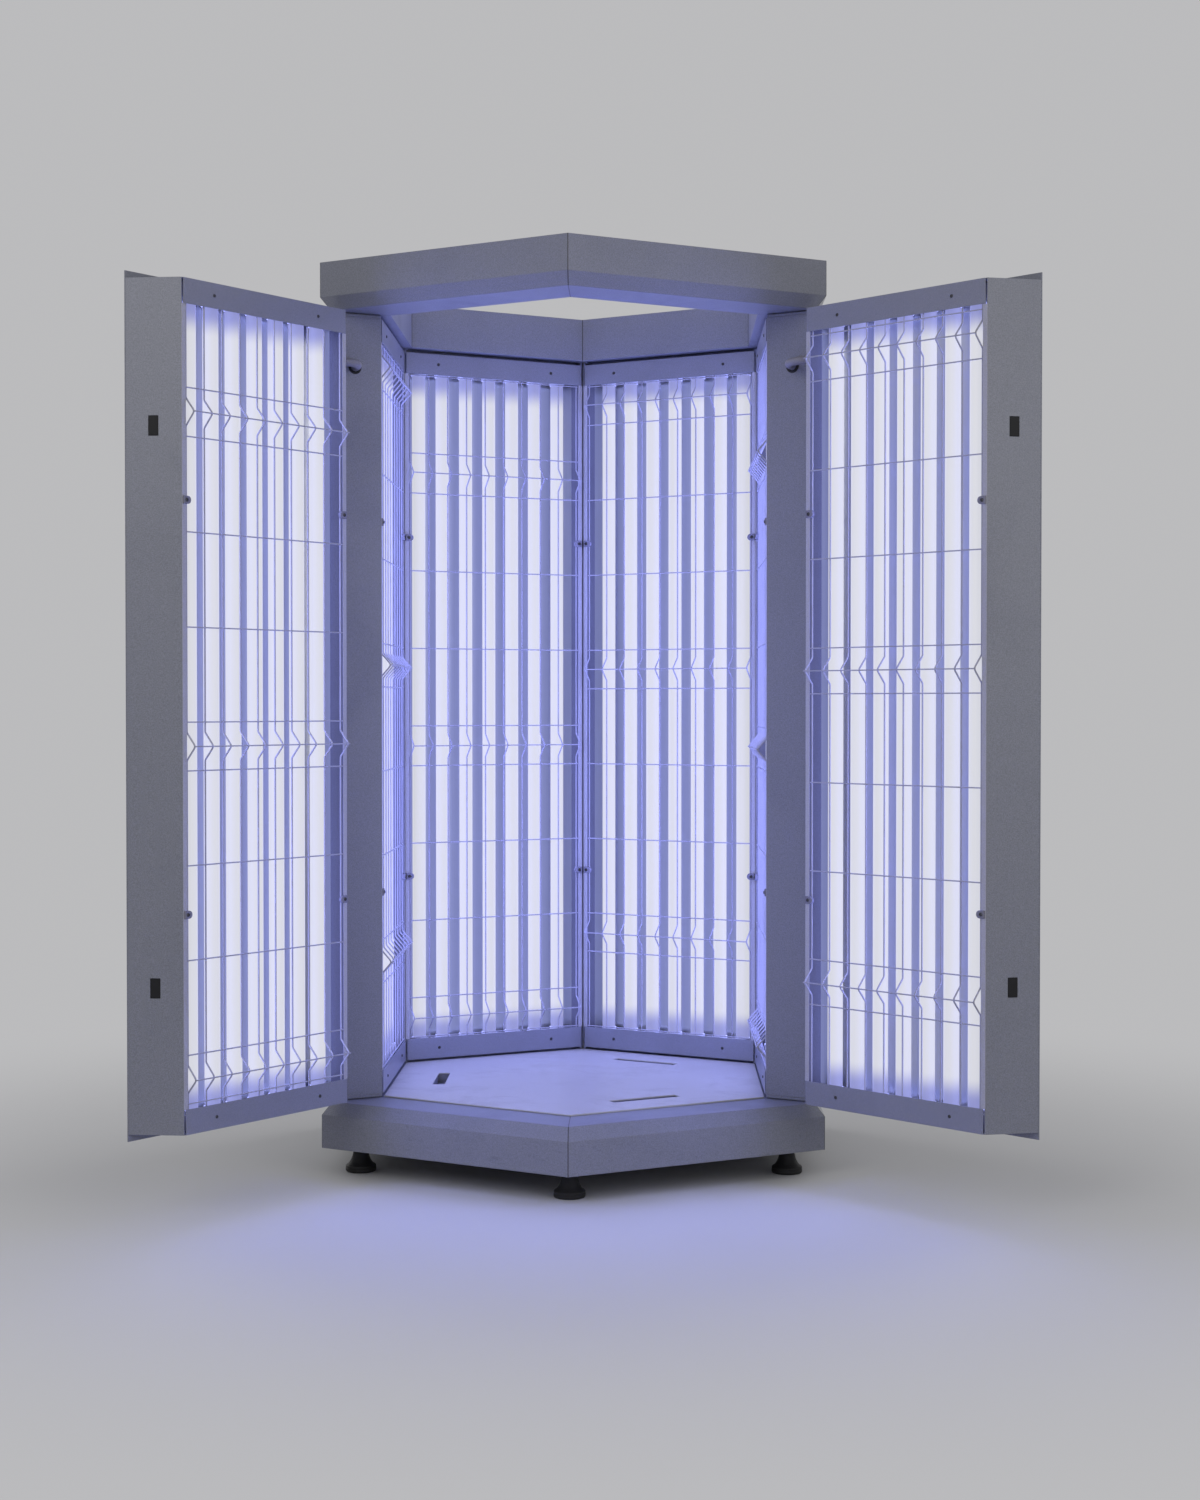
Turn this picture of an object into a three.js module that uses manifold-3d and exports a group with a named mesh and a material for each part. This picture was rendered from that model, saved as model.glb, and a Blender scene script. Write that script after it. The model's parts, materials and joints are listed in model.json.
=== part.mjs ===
// Vertical tanning booth. Six upright lamp panels make a hexagon that points to the front.
// Four panels are fixed walls and the two front ones are doors, shown open.
// Millimetres, +Z up, front towards -Y. The panels are drawn with their outer side towards +Y.
import * as THREE from 'three';
import { mergeVertices } from 'three/addons/utils/BufferGeometryUtils.js';
import Module from 'manifold-3d';

const wasm = await Module();
wasm.setup();

const TAN30 = Math.tan(Math.PI / 6);
const COS30 = Math.cos(Math.PI / 6);
const DEG = Math.PI / 180;

// Hexagon, measured from the upright axis to the middle of a side.
const INNER_APOTHEM = 500;
const PANEL_DEPTH = 120;
const OVERHANG = 30;
const CHAMFER_RUN = 26;
const CANOPY_LIP = 22;
const FLOOR_GAP = 2;
const FLOOR_BEARING = 28;
const SKIN_APOTHEM = INNER_APOTHEM + PANEL_DEPTH;
const OUTER_APOTHEM = SKIN_APOTHEM + OVERHANG;
const EDGE_APOTHEM = OUTER_APOTHEM - CHAMFER_RUN;
const CANOPY_HOLE_APOTHEM = INNER_APOTHEM - CANOPY_LIP;
const FLOOR_APOTHEM = INNER_APOTHEM - FLOOR_GAP;
const RIM_APOTHEM = FLOOR_APOTHEM - FLOOR_BEARING;

// Heights.
const FOOT_HEIGHT = 62;
const FOOT_CLEAR = 8;
const BASE_HEIGHT = 118;
const ROOM_HEIGHT = 2044;
const CANOPY_HEIGHT = 121;
const CHAMFER_RISE = 32;
const BASE_BOTTOM = FOOT_HEIGHT + FOOT_CLEAR;
const BASE_TOP = BASE_BOTTOM + BASE_HEIGHT;
const BASE_FASCIA_TOP = BASE_TOP - CHAMFER_RISE;
const CANOPY_BOTTOM = BASE_TOP + ROOM_HEIGHT;
const CANOPY_FASCIA_BOTTOM = CANOPY_BOTTOM + CHAMFER_RISE;
const TOP = CANOPY_BOTTOM + CANOPY_HEIGHT;
const MIDDLE = BASE_TOP + ROOM_HEIGHT / 2;

// Sheet thicknesses and clearances. A cut reaches past the faces that it opens.
const SHEET = 2;
const PLINTH_SHEET = 3;
const FIT = 0.3;
const CUT = 20;
const WALL_MITRE_GAP = 1.5;
const DOOR_MITRE_GAP = 2;

// Panels: half heights, each side of the middle.
const WALL_END_GAP = 10;
const DOOR_END_GAP = 22;
const SKIN_END_GAP = 5;
const WALL_HALF = ROOM_HEIGHT / 2 - WALL_END_GAP;
const DOOR_HALF = ROOM_HEIGHT / 2 - DOOR_END_GAP;
const DOOR_SKIN_HALF = ROOM_HEIGHT / 2 - SKIN_END_GAP;
const STRIP_HEIGHT = 60;
const STRIP_THICK = 2.4;
const STRIP_END_GAP = 5.7;
const STRIP_HALF_WIDTH = INNER_APOTHEM * TAN30 - STRIP_END_GAP;

// Lamps, the rails that hold their ends, and reflectors.
const LAMPS = 7;
const LAMP_PITCH = 75;
const LAMP_RADIUS = 19;
const LAMP_SETBACK = 45;
const LAMP_END_GAP = 20;
const SOCKET_DEPTH = 20;
const RAIL_MARGIN = 10;
const RAIL_HALF_DEPTH = 15;
const REFLECTOR_SHEET = 1.5;
const REFLECTOR_GAP = 25;
const REFLECTOR_FRONT = 10;
const REFLECTOR_SIDE_GAP = 8;
const LAMP_HALF = DOOR_HALF - LAMP_END_GAP;
const RAIL_INNER = LAMP_HALF - SOCKET_DEPTH;
const RAIL_HALF_WIDTH = ((LAMPS - 1) / 2) * LAMP_PITCH + LAMP_RADIUS + RAIL_MARGIN;
const REFLECTOR_BACK = LAMP_SETBACK + LAMP_RADIUS + REFLECTOR_GAP;
const REFLECTOR_BACK_HALF = RAIL_HALF_WIDTH + REFLECTOR_SIDE_GAP;
const REFLECTOR_FRONT_HALF = (INNER_APOTHEM + REFLECTOR_FRONT) * TAN30 - REFLECTOR_SIDE_GAP;

// Wire guards. Rungs stand at each bend and at even steps between the bends.
const WIRES = 10;
const GUARD_EDGE_GAP = 18.7;
const WIRE_SETBACK = 7;
const WIRE_RADIUS = 2.2;
const EDGE_WIRE_RADIUS = 2.8;
const RUNG_RADIUS = 2.4;
const RUNG_FORWARD = 4.8;
const RUNG_PAST = 3;
const BENDS = 3;
const BEND_DEPTH = 28;
const BEND_HALF = 33;
const BEND_FROM_END = 129;
const RUNG_NEAR = 57;
const RUNGS_BETWEEN = 2;
const TAIL_FROM_END = 34;
const TOP_RUNG_FROM_END = 32;
const WALL_GUARD_DROP = 20;
const GUARD_HALF_WIDTH = INNER_APOTHEM * TAN30 - GUARD_EDGE_GAP;
const WIRE_PITCH = (2 * GUARD_HALF_WIDTH) / (WIRES - 1);
const BEND_FIRST = -DOOR_HALF + BEND_FROM_END;
const TOP_RUNG = DOOR_HALF - TOP_RUNG_FROM_END;
const EVEN_STEPS = (BENDS - 1) * (RUNGS_BETWEEN + 1) + 1;
const RUNG_STEP = (TOP_RUNG - BEND_FIRST - (2 * BENDS - 1) * RUNG_NEAR) / EVEN_STEPS;
const BEND_STEP = 2 * RUNG_NEAR + (RUNGS_BETWEEN + 1) * RUNG_STEP;

// Door hinges, magnets and leads.
const LEFT_OPEN = 94;
const RIGHT_OPEN = 103;
const HINGE_STAND = 12;
const LEAF_END_GAP = 28;
const LEAF_WIDTH = 38;
const LEAF_THICK = 3;
const KNUCKLES = 6;
const KNUCKLE_RADIUS = 8;
const TONGUE_BACK = 5;
const TONGUE_PAST = 3.5;
const TONGUE_RISE = 3.7;
const PIN_RADIUS = 4;
const PIN_HEAD_RADIUS = 7.5;
const PIN_HEAD = 3;
const HINGE_RADIUS = (SKIN_APOTHEM + HINGE_STAND) / COS30;
const LEAF_HALF = DOOR_HALF - LEAF_END_GAP;
const MAGNET_WIDTH = 23;
const MAGNET_HEIGHT = 46;
const MAGNET_DEPTH = 8;
const MAGNET_PROUD = 1;
const MAGNET_SLACK = 0.5;
const MAGNET_FROM_END = 344;
const MAGNET_RADIUS = (INNER_APOTHEM + PANEL_DEPTH / 2) / COS30;
const MAGNET_OFFSET = DOOR_HALF - MAGNET_FROM_END;
const LEAD_RADIUS = 11;
const LEAD_SLACK = 1.5;
const LEAD_FROM_SKIN = 54.5;
const LEAD_FROM_END = 118;
const LEAD_TUCK = 18;
const LEAD_STEPS = 14;
const LEAD_SIDES = 10;
const LEAD_PLACE = (SKIN_APOTHEM - LEAD_FROM_SKIN) / COS30;
const LEAD_HEIGHT = MIDDLE + DOOR_HALF - LEAD_FROM_END;

// Feet, floor slots, ballasts and the mains hole.
const FOOT_RADIUS = 40;
const FOOT_RIM = 18;
const FOOT_NECK = 18;
const FOOT_ROUND = 4;
const FOOT_INSET = 109.5;
const STEM_RADIUS = 8;
const STEM_SLACK = 0.5;
const STEM_REACH = 58;
const FOOT_PLACE = OUTER_APOTHEM / COS30 - FOOT_INSET;
const FLOOR_THICK = 4;
const SLOT_LENGTH = 200;
const SLOT_WIDTH = 32;
const SLOT_CORNER = 3;
const SLOT_FROM_EDGE = 126;
const SLOT_PLACE = FLOOR_APOTHEM - SLOT_FROM_EDGE;
const BALLASTS = 6;
const BALLAST_WIDTH = 80;
const BALLAST_LENGTH = 260;
const BALLAST_HEIGHT = 58;
const BALLAST_GAP = 32;
const BALLAST_TRAY_SHEET = 4;
const BALLAST_TRAY_MARGIN = 30;
const MAINS_HOLE_RADIUS = 20;
const MAINS_HOLE_FROM_EDGE = 110;
const MAINS_HOLE_PLACE = OUTER_APOTHEM / COS30 - MAINS_HOLE_FROM_EDGE;

const paint = { color: 0xd2d2d6, roughness: 0.55, metalness: 0.05 };
const stripPaint = { color: 0xd6d4de, roughness: 0.45, metalness: 0.05 };
const white = { color: 0xeceaf0, roughness: 0.5, metalness: 0 };
const black = { color: 0x141416, roughness: 0.75, metalness: 0 };
const ferrite = { color: 0x1b1b1d, roughness: 0.5, metalness: 0.1 };
const aluminium = { color: 0xc9ccd6, roughness: 0.15, metalness: 1 };
const glass = { color: 0xf0ecff, roughness: 0.2, metalness: 0 };
const wirePaint = { color: 0xdcdae4, roughness: 0.35, metalness: 0.2 };
const steel = { color: 0xa9abb0, roughness: 0.35, metalness: 1 };
const conduit = { color: 0xb9b6c8, roughness: 0.5, metalness: 0 };
const tin = { color: 0x8d9096, roughness: 0.5, metalness: 0.6 };

const booth = new THREE.Group();
booth.name = 'tanning_booth';

function solid(geometry) {
  const bare = geometry.clone();
  bare.deleteAttribute('normal');
  bare.deleteAttribute('uv');
  const welded = mergeVertices(bare, 1e-4);
  const data = new wasm.Mesh({
    numProp: 3,
    vertProperties: new Float32Array(welded.attributes.position.array),
    triVerts: new Uint32Array(welded.index.array),
  });
  return new wasm.Manifold(data);
}

function unsolid(body) {
  const data = body.getMesh();
  const geometry = new THREE.BufferGeometry();
  const corners = new Float32Array(data.vertProperties);
  geometry.setAttribute('position', new THREE.BufferAttribute(corners, 3));
  geometry.setIndex(new THREE.BufferAttribute(new Uint32Array(data.triVerts), 1));
  return geometry;
}

function joined(bodies) {
  return bodies.reduce((sum, body) => sum.add(body));
}

function put(parent, name, shape, finish) {
  const geometry = shape.isBufferGeometry ? shape : unsolid(shape);
  geometry.computeVertexNormals();
  const mesh = new THREE.Mesh(geometry, new THREE.MeshStandardMaterial(finish));
  mesh.name = name;
  parent.add(mesh);
}

// An upright prism over a plan outline.
function prism(outline, low, high) {
  const shape = new THREE.Shape(outline.map(([x, y]) => new THREE.Vector2(x, y)));
  const geometry = new THREE.ExtrudeGeometry(shape, { depth: high - low, bevelEnabled: false });
  return geometry.translate(0, 0, low);
}

function block(x0, x1, y0, y1, low, high) {
  return prism([[x0, y0], [x1, y0], [x1, y1], [x0, y1]], low, high);
}

function rod(x, y, radius, low, high, sides) {
  const geometry = new THREE.CylinderGeometry(radius, radius, high - low, sides);
  geometry.rotateX(Math.PI / 2);
  return geometry.translate(x, y, (low + high) / 2);
}

// A profile of [radius, height] pairs turned about the upright axis.
function turned(profile, sides) {
  const points = profile.map(([radius, height]) => new THREE.Vector2(radius, height));
  return new THREE.LatheGeometry(points, sides).rotateX(Math.PI / 2);
}

// A profile of [apothem, height] pairs carried round the hexagon.
function hexagonal(profile) {
  return turned(profile.map(([apothem, height]) => [apothem / COS30, height]), 6);
}

// Plan outline of a panel between its two mitred ends.
function wedge(near, far, gap) {
  const half = (y) => y * TAN30 - gap / COS30;
  return [[-half(near), near], [half(near), near], [half(far), far], [-half(far), far]];
}

// Plan point at a distance along a mitre line and at a depth into the panel from it.
function atEnd(side, along, depth) {
  return [side * (along * 0.5 - depth * COS30), along * COS30 + depth * 0.5];
}

function endBlock(side, along, halfWidth, nearDepth, farDepth, low, high) {
  const outline = [
    atEnd(side, along - halfWidth, nearDepth),
    atEnd(side, along + halfWidth, nearDepth),
    atEnd(side, along + halfWidth, farDepth),
    atEnd(side, along - halfWidth, farDepth),
  ];
  return prism(side > 0 ? outline.reverse() : outline, low, high);
}

function leadHole(side) {
  const radius = LEAD_RADIUS + LEAD_SLACK;
  const hole = new THREE.CylinderGeometry(radius, radius, 2 * CUT, 12);
  hole.rotateZ(side * 60 * DEG);
  const [x, y] = atEnd(side, LEAD_PLACE, 0);
  return hole.translate(x, y, LEAD_HEIGHT);
}

function tray(half, back, gap) {
  const front = INNER_APOTHEM + STRIP_THICK + FIT;
  const outer = solid(prism(wedge(front, back, gap), MIDDLE - half, MIDDLE + half));
  const inside = wedge(front - CUT, back - SHEET, gap + SHEET);
  const hollow = solid(prism(inside, MIDDLE - half + SHEET, MIDDLE + half - SHEET));
  return outer.subtract(hollow);
}

function wallCasing(leadSide) {
  const skin = wedge(SKIN_APOTHEM - SHEET, SKIN_APOTHEM, WALL_MITRE_GAP);
  const cover = solid(prism(skin, BASE_TOP + FIT, CANOPY_BOTTOM - FIT));
  const casing = tray(WALL_HALF, SKIN_APOTHEM, WALL_MITRE_GAP).add(cover);
  return leadSide ? casing.subtract(solid(leadHole(leadSide))) : casing;
}

function reflector(half) {
  const front = INNER_APOTHEM + REFLECTOR_FRONT;
  const back = INNER_APOTHEM + REFLECTOR_BACK;
  const run = REFLECTOR_FRONT_HALF - REFLECTOR_BACK_HALF;
  const slant = REFLECTOR_SHEET * Math.hypot(1, run / (back - front));
  const outline = [
    [-REFLECTOR_FRONT_HALF, front],
    [-REFLECTOR_FRONT_HALF + slant, front],
    [-REFLECTOR_BACK_HALF + slant, back - REFLECTOR_SHEET],
    [REFLECTOR_BACK_HALF - slant, back - REFLECTOR_SHEET],
    [REFLECTOR_FRONT_HALF - slant, front],
    [REFLECTOR_FRONT_HALF, front],
    [REFLECTOR_BACK_HALF, back],
    [-REFLECTOR_BACK_HALF, back],
  ];
  const end = half - SHEET - FIT;
  return prism(outline, MIDDLE - end, MIDDLE + end);
}

// Seven tubes standing between two rails of lamp holders.
function lampBank(half) {
  const y = INNER_APOTHEM + LAMP_SETBACK;
  const end = half - SHEET - FIT;
  const near = y - RAIL_HALF_DEPTH;
  const far = y + RAIL_HALF_DEPTH;
  const width = RAIL_HALF_WIDTH;
  const pieces = [
    solid(block(-width, width, near, far, MIDDLE - end, MIDDLE - RAIL_INNER)),
    solid(block(-width, width, near, far, MIDDLE + RAIL_INNER, MIDDLE + end)),
  ];
  for (let i = 0; i < LAMPS; i += 1) {
    const x = (i - (LAMPS - 1) / 2) * LAMP_PITCH;
    const tube = rod(x, y, LAMP_RADIUS, MIDDLE - LAMP_HALF, MIDDLE + LAMP_HALF, 8);
    pieces.push(solid(tube));
  }
  return joined(pieces);
}

// A three-sided bar through a row of points, its section held level or upright.
function bar(points, radius, level) {
  const corners = [];
  const index = [];
  points.forEach(([x, y, z]) => {
    for (let k = 0; k < 3; k += 1) {
      const c = radius * Math.cos(k * 120 * DEG);
      const s = radius * Math.sin(k * 120 * DEG);
      corners.push(...(level ? [x, y + c, z + s] : [x + s, y - c, z]));
    }
  });
  const last = 3 * (points.length - 1);
  for (let ring = 0; ring < last; ring += 3) {
    for (let k = 0; k < 3; k += 1) {
      const a = ring + k;
      const b = ring + ((k + 1) % 3);
      index.push(a, b, b + 3, a, b + 3, a + 3);
    }
  }
  index.push(0, 2, 1, last, last + 1, last + 2);
  const geometry = new THREE.BufferGeometry();
  geometry.setAttribute('position', new THREE.Float32BufferAttribute(corners, 3));
  geometry.setIndex(index);
  return geometry;
}

// Wires with three inward bends, and rungs across them. A turned guard hangs upside down, and the walls'
// guards hang a little nearer to their own lower end than the doors' do.
function guard(turn, drop) {
  const y = INNER_APOTHEM + WIRE_SETBACK;
  const bends = Array.from({ length: BENDS }, (_, i) => BEND_FIRST + i * BEND_STEP);
  const path = [[TAIL_FROM_END - DOOR_HALF, 0]];
  bends.forEach((bend) => {
    path.push([bend - BEND_HALF, 0], [bend, -BEND_DEPTH], [bend + BEND_HALF, 0]);
  });
  path.push([TOP_RUNG + RUNG_RADIUS, 0]);
  const high = (v) => MIDDLE + turn * (v - drop);
  const ordered = turn > 0 ? path : path.reverse();
  const half = GUARD_HALF_WIDTH;
  const end = half + RUNG_PAST;
  const pieces = [];
  for (let i = 0; i < WIRES; i += 1) {
    const x = i * WIRE_PITCH - half;
    const radius = i === 0 || i === WIRES - 1 ? EDGE_WIRE_RADIUS : WIRE_RADIUS;
    pieces.push(solid(bar(ordered.map(([v, out]) => [x, y + out, high(v)]), radius, false)));
  }
  const rung = (v, forward) => {
    const ends = [[-end, y + forward, high(v)], [end, y + forward, high(v)]];
    pieces.push(solid(bar(ends, RUNG_RADIUS, true)));
  };
  bends.forEach((bend, i) => {
    rung(bend - RUNG_NEAR, i === 0 ? 0 : -RUNG_FORWARD);
    rung(bend, -BEND_DEPTH - RUNG_FORWARD);
    rung(bend + RUNG_NEAR, -RUNG_FORWARD);
    for (let k = 1; i < BENDS - 1 && k <= RUNGS_BETWEEN; k += 1) {
      rung(bend + RUNG_NEAR + k * RUNG_STEP, -RUNG_FORWARD);
    }
  });
  rung(TOP_RUNG, 0);
  return joined(pieces);
}

function strip(half, side) {
  const outer = MIDDLE + side * half;
  const inner = outer - side * STRIP_HEIGHT;
  const low = Math.min(outer, inner);
  const y = INNER_APOTHEM;
  return block(-STRIP_HALF_WIDTH, STRIP_HALF_WIDTH, y, y + STRIP_THICK, low, low + STRIP_HEIGHT);
}

// What every panel holds, whether it is a wall or a door.
function fillPanel(panel, name, half, turn, drop) {
  put(panel, `${name}_reflector`, reflector(half), aluminium);
  put(panel, `${name}_lamp_bank`, lampBank(half), glass);
  put(panel, `${name}_guard`, guard(turn, drop), wirePaint);
  put(panel, `${name}_top_strip`, strip(half, 1), stripPaint);
  put(panel, `${name}_bottom_strip`, strip(half, -1), stripPaint);
}

function magnetBlock(side, height, extra, nearDepth) {
  const low = MIDDLE + height - MAGNET_HEIGHT / 2 - extra;
  const high = MIDDLE + height + MAGNET_HEIGHT / 2 + extra;
  const halfWidth = MAGNET_WIDTH / 2 + extra;
  return endBlock(side, MAGNET_RADIUS, halfWidth, nearDepth, nearDepth + MAGNET_DEPTH, low, high);
}

function doorFrame(hingeSide) {
  const back = SKIN_APOTHEM - SHEET - FIT;
  let frame = tray(DOOR_HALF, back, DOOR_MITRE_GAP).subtract(solid(leadHole(hingeSide)));
  [MAGNET_OFFSET, -MAGNET_OFFSET].forEach((height) => {
    frame = frame.subtract(solid(magnetBlock(-hingeSide, height, MAGNET_SLACK, 0)));
  });
  return frame;
}

// One leaf with its own knuckles: even ones on the fixed leaf, odd ones on the moving leaf.
function hingeLeaf(side, first) {
  const low = MIDDLE - LEAF_HALF;
  const step = (2 * LEAF_HALF) / KNUCKLES;
  const near = SKIN_APOTHEM + FIT;
  const edge = near * TAN30 - WALL_MITRE_GAP / COS30;
  const [px, py] = atEnd(side, HINGE_RADIUS, 0);
  const flat = (x0, x1, y1, z0, z1) => {
    const outline = [[x0, near], [x1, near], [x1, y1], [x0, y1]].map(([x, y]) => [side * x, y]);
    return solid(prism(side > 0 ? outline : outline.reverse(), z0, z1));
  };
  let leaf = flat(edge - LEAF_WIDTH, edge, near + LEAF_THICK, low, MIDDLE + LEAF_HALF);
  for (let i = first; i < KNUCKLES; i += 2) {
    const z0 = low + i * step + FIT;
    const z1 = low + (i + 1) * step - FIT;
    leaf = leaf.add(solid(rod(px, py, KNUCKLE_RADIUS, z0, z1, 12)));
    const rise = near + LEAF_THICK + TONGUE_RISE;
    leaf = leaf.add(flat(edge - TONGUE_BACK, edge + TONGUE_PAST, rise, z0, z1));
  }
  const bore = rod(px, py, PIN_RADIUS + FIT, low - CUT, MIDDLE + LEAF_HALF + CUT, 12);
  return leaf.subtract(solid(bore));
}

function hingePin(side) {
  const low = MIDDLE - LEAF_HALF - FIT;
  const high = MIDDLE + LEAF_HALF + FIT;
  const profile = [
    [0, low - PIN_HEAD],
    [PIN_HEAD_RADIUS, low - PIN_HEAD],
    [PIN_HEAD_RADIUS, low],
    [PIN_RADIUS, low],
    [PIN_RADIUS, high],
    [PIN_HEAD_RADIUS, high],
    [PIN_HEAD_RADIUS, high + PIN_HEAD],
    [0, high + PIN_HEAD],
  ];
  const [px, py] = atEnd(side, HINGE_RADIUS, 0);
  return turned(profile, 12).translate(px, py, 0);
}

// A panel stands with its outer side facing the given direction.
function panelAt(parent, name, facing) {
  const panel = new THREE.Group();
  panel.name = name;
  panel.rotation.z = (facing - 90) * DEG;
  parent.add(panel);
  return panel;
}

function wall(name, facing, turn, leadSide) {
  const panel = panelAt(booth, name, facing);
  put(panel, `${name}_casing`, wallCasing(leadSide), paint);
  fillPanel(panel, name, WALL_HALF, turn, WALL_GUARD_DROP);
  return panel;
}

// The hinge line of a door, where its wall and the door meet.
function hingeLine(direction) {
  const x = HINGE_RADIUS * Math.cos(direction * DEG);
  const y = HINGE_RADIUS * Math.sin(direction * DEG);
  return new THREE.Vector3(x, y, 0);
}

function door(name, facing, direction, opening, turn, hingeSide) {
  const pivot = new THREE.Group();
  pivot.name = `${name}_pivot`;
  pivot.position.copy(hingeLine(direction));
  pivot.rotation.z = opening * DEG;
  booth.add(pivot);
  const panel = panelAt(pivot, name, facing);
  panel.position.copy(hingeLine(direction)).negate();
  const skin = wedge(SKIN_APOTHEM - SHEET, SKIN_APOTHEM, DOOR_MITRE_GAP);
  put(panel, `${name}_frame`, doorFrame(hingeSide), paint);
  put(panel, `${name}_skin`, prism(skin, MIDDLE - DOOR_SKIN_HALF, MIDDLE + DOOR_SKIN_HALF), paint);
  fillPanel(panel, name, DOOR_HALF, turn, 0);
  const proud = DOOR_MITRE_GAP - MAGNET_PROUD;
  const upper = magnetBlock(-hingeSide, MAGNET_OFFSET, 0, proud);
  const lower = magnetBlock(-hingeSide, -MAGNET_OFFSET, 0, proud);
  put(panel, `${name}_upper_magnet`, upper, ferrite);
  put(panel, `${name}_lower_magnet`, lower, ferrite);
  put(panel, `${name}_moving_leaf`, hingeLeaf(hingeSide, 1), steel);
}

// The lead bends round the hinge line from the wall's end into the door's end.
function powerLead(direction, opening) {
  const axis = hingeLine(direction);
  const reach = HINGE_RADIUS - LEAD_PLACE;
  const sense = Math.sign(opening);
  const start = direction + 180 - sense * LEAD_TUCK;
  const sweep = opening + 2 * sense * LEAD_TUCK;
  const points = [];
  for (let i = 0; i <= LEAD_STEPS; i += 1) {
    const angle = (start + (sweep * i) / LEAD_STEPS) * DEG;
    const x = axis.x + reach * Math.cos(angle);
    const y = axis.y + reach * Math.sin(angle);
    points.push(new THREE.Vector3(x, y, LEAD_HEIGHT));
  }
  const section = Array.from({ length: LEAD_SIDES }, (_, k) => {
    const angle = (k / LEAD_SIDES) * 2 * Math.PI;
    return new THREE.Vector2(LEAD_RADIUS * Math.cos(angle), LEAD_RADIUS * Math.sin(angle));
  });
  const extrudePath = new THREE.CatmullRomCurve3(points);
  const round = new THREE.Shape(section);
  const options = { steps: LEAD_STEPS, extrudePath, bevelEnabled: false };
  return new THREE.ExtrudeGeometry(round, options);
}

function plinth() {
  const t = PLINTH_SHEET;
  const body = solid(hexagonal([
    [0, BASE_BOTTOM],
    [OUTER_APOTHEM, BASE_BOTTOM],
    [OUTER_APOTHEM, BASE_FASCIA_TOP],
    [EDGE_APOTHEM, BASE_TOP],
    [RIM_APOTHEM, BASE_TOP],
    [RIM_APOTHEM, BASE_TOP - t],
    [EDGE_APOTHEM - t / 2, BASE_TOP - t],
    [OUTER_APOTHEM - t, BASE_FASCIA_TOP - t / 2],
    [OUTER_APOTHEM - t, BASE_BOTTOM + t],
    [0, BASE_BOTTOM + t],
  ]));
  const radius = STEM_RADIUS + STEM_SLACK;
  const low = BASE_BOTTOM - CUT;
  const high = BASE_BOTTOM + CUT;
  const holes = footPlaces().map(([, x, y]) => solid(rod(x, y, radius, low, high, 12)));
  return body.subtract(joined(holes));
}

// A boxed ring, with a hole for the mains cable in its top at the back.
function canopyRing() {
  const t = SHEET;
  const outside = solid(hexagonal([
    [CANOPY_HOLE_APOTHEM, CANOPY_BOTTOM],
    [EDGE_APOTHEM, CANOPY_BOTTOM],
    [OUTER_APOTHEM, CANOPY_FASCIA_BOTTOM],
    [OUTER_APOTHEM, TOP],
    [CANOPY_HOLE_APOTHEM, TOP],
    [CANOPY_HOLE_APOTHEM, CANOPY_BOTTOM],
  ]));
  const inside = solid(hexagonal([
    [CANOPY_HOLE_APOTHEM + t, CANOPY_BOTTOM + t],
    [EDGE_APOTHEM - t / 2, CANOPY_BOTTOM + t],
    [OUTER_APOTHEM - t, CANOPY_FASCIA_BOTTOM + t / 2],
    [OUTER_APOTHEM - t, TOP - t],
    [CANOPY_HOLE_APOTHEM + t, TOP - t],
    [CANOPY_HOLE_APOTHEM + t, CANOPY_BOTTOM + t],
  ]));
  const inlet = solid(rod(0, MAINS_HOLE_PLACE, MAINS_HOLE_RADIUS, TOP - CUT, TOP + CUT, 16));
  return outside.subtract(inside).subtract(inlet);
}

function floorPlate() {
  const hexagon = new THREE.Shape();
  for (let k = 0; k < 6; k += 1) {
    const radius = FLOOR_APOTHEM / COS30;
    const x = radius * Math.cos((30 + 60 * k) * DEG);
    const y = radius * Math.sin((30 + 60 * k) * DEG);
    if (k === 0) hexagon.moveTo(x, y);
    else hexagon.lineTo(x, y);
  }
  [180, 60, -60].forEach((direction) => {
    const c = Math.cos(direction * DEG);
    const s = Math.sin(direction * DEG);
    const corner = (out, along) => new THREE.Vector2(out * c - along * s, out * s + along * c);
    const near = SLOT_PLACE - SLOT_WIDTH / 2;
    const far = SLOT_PLACE + SLOT_WIDTH / 2;
    const half = SLOT_LENGTH / 2;
    const cut = SLOT_CORNER;
    hexagon.holes.push(new THREE.Path([
      corner(near, -half + cut),
      corner(near, half - cut),
      corner(near + cut, half),
      corner(far - cut, half),
      corner(far, half - cut),
      corner(far, -half + cut),
      corner(far - cut, -half),
      corner(near + cut, -half),
    ]));
  });
  const plate = new THREE.ExtrudeGeometry(hexagon, { depth: FLOOR_THICK, bevelEnabled: false });
  return plate.translate(0, 0, BASE_TOP + FIT);
}

function ballastTray() {
  const low = BASE_BOTTOM + PLINTH_SHEET + FIT;
  const pitch = BALLAST_WIDTH + BALLAST_GAP;
  const across = (BALLASTS * pitch - BALLAST_GAP) / 2 + BALLAST_TRAY_MARGIN;
  const deep = BALLAST_LENGTH / 2 + BALLAST_TRAY_MARGIN;
  const floor = low + BALLAST_TRAY_SHEET;
  const pieces = [solid(block(-across, across, -deep, deep, low, floor))];
  for (let i = 0; i < BALLASTS; i += 1) {
    const x0 = (i - (BALLASTS - 1) / 2) * pitch - BALLAST_WIDTH / 2;
    const x1 = x0 + BALLAST_WIDTH;
    const half = BALLAST_LENGTH / 2;
    pieces.push(solid(block(x0, x1, -half, half, floor - 1, floor + BALLAST_HEIGHT)));
  }
  return joined(pieces);
}

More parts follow.
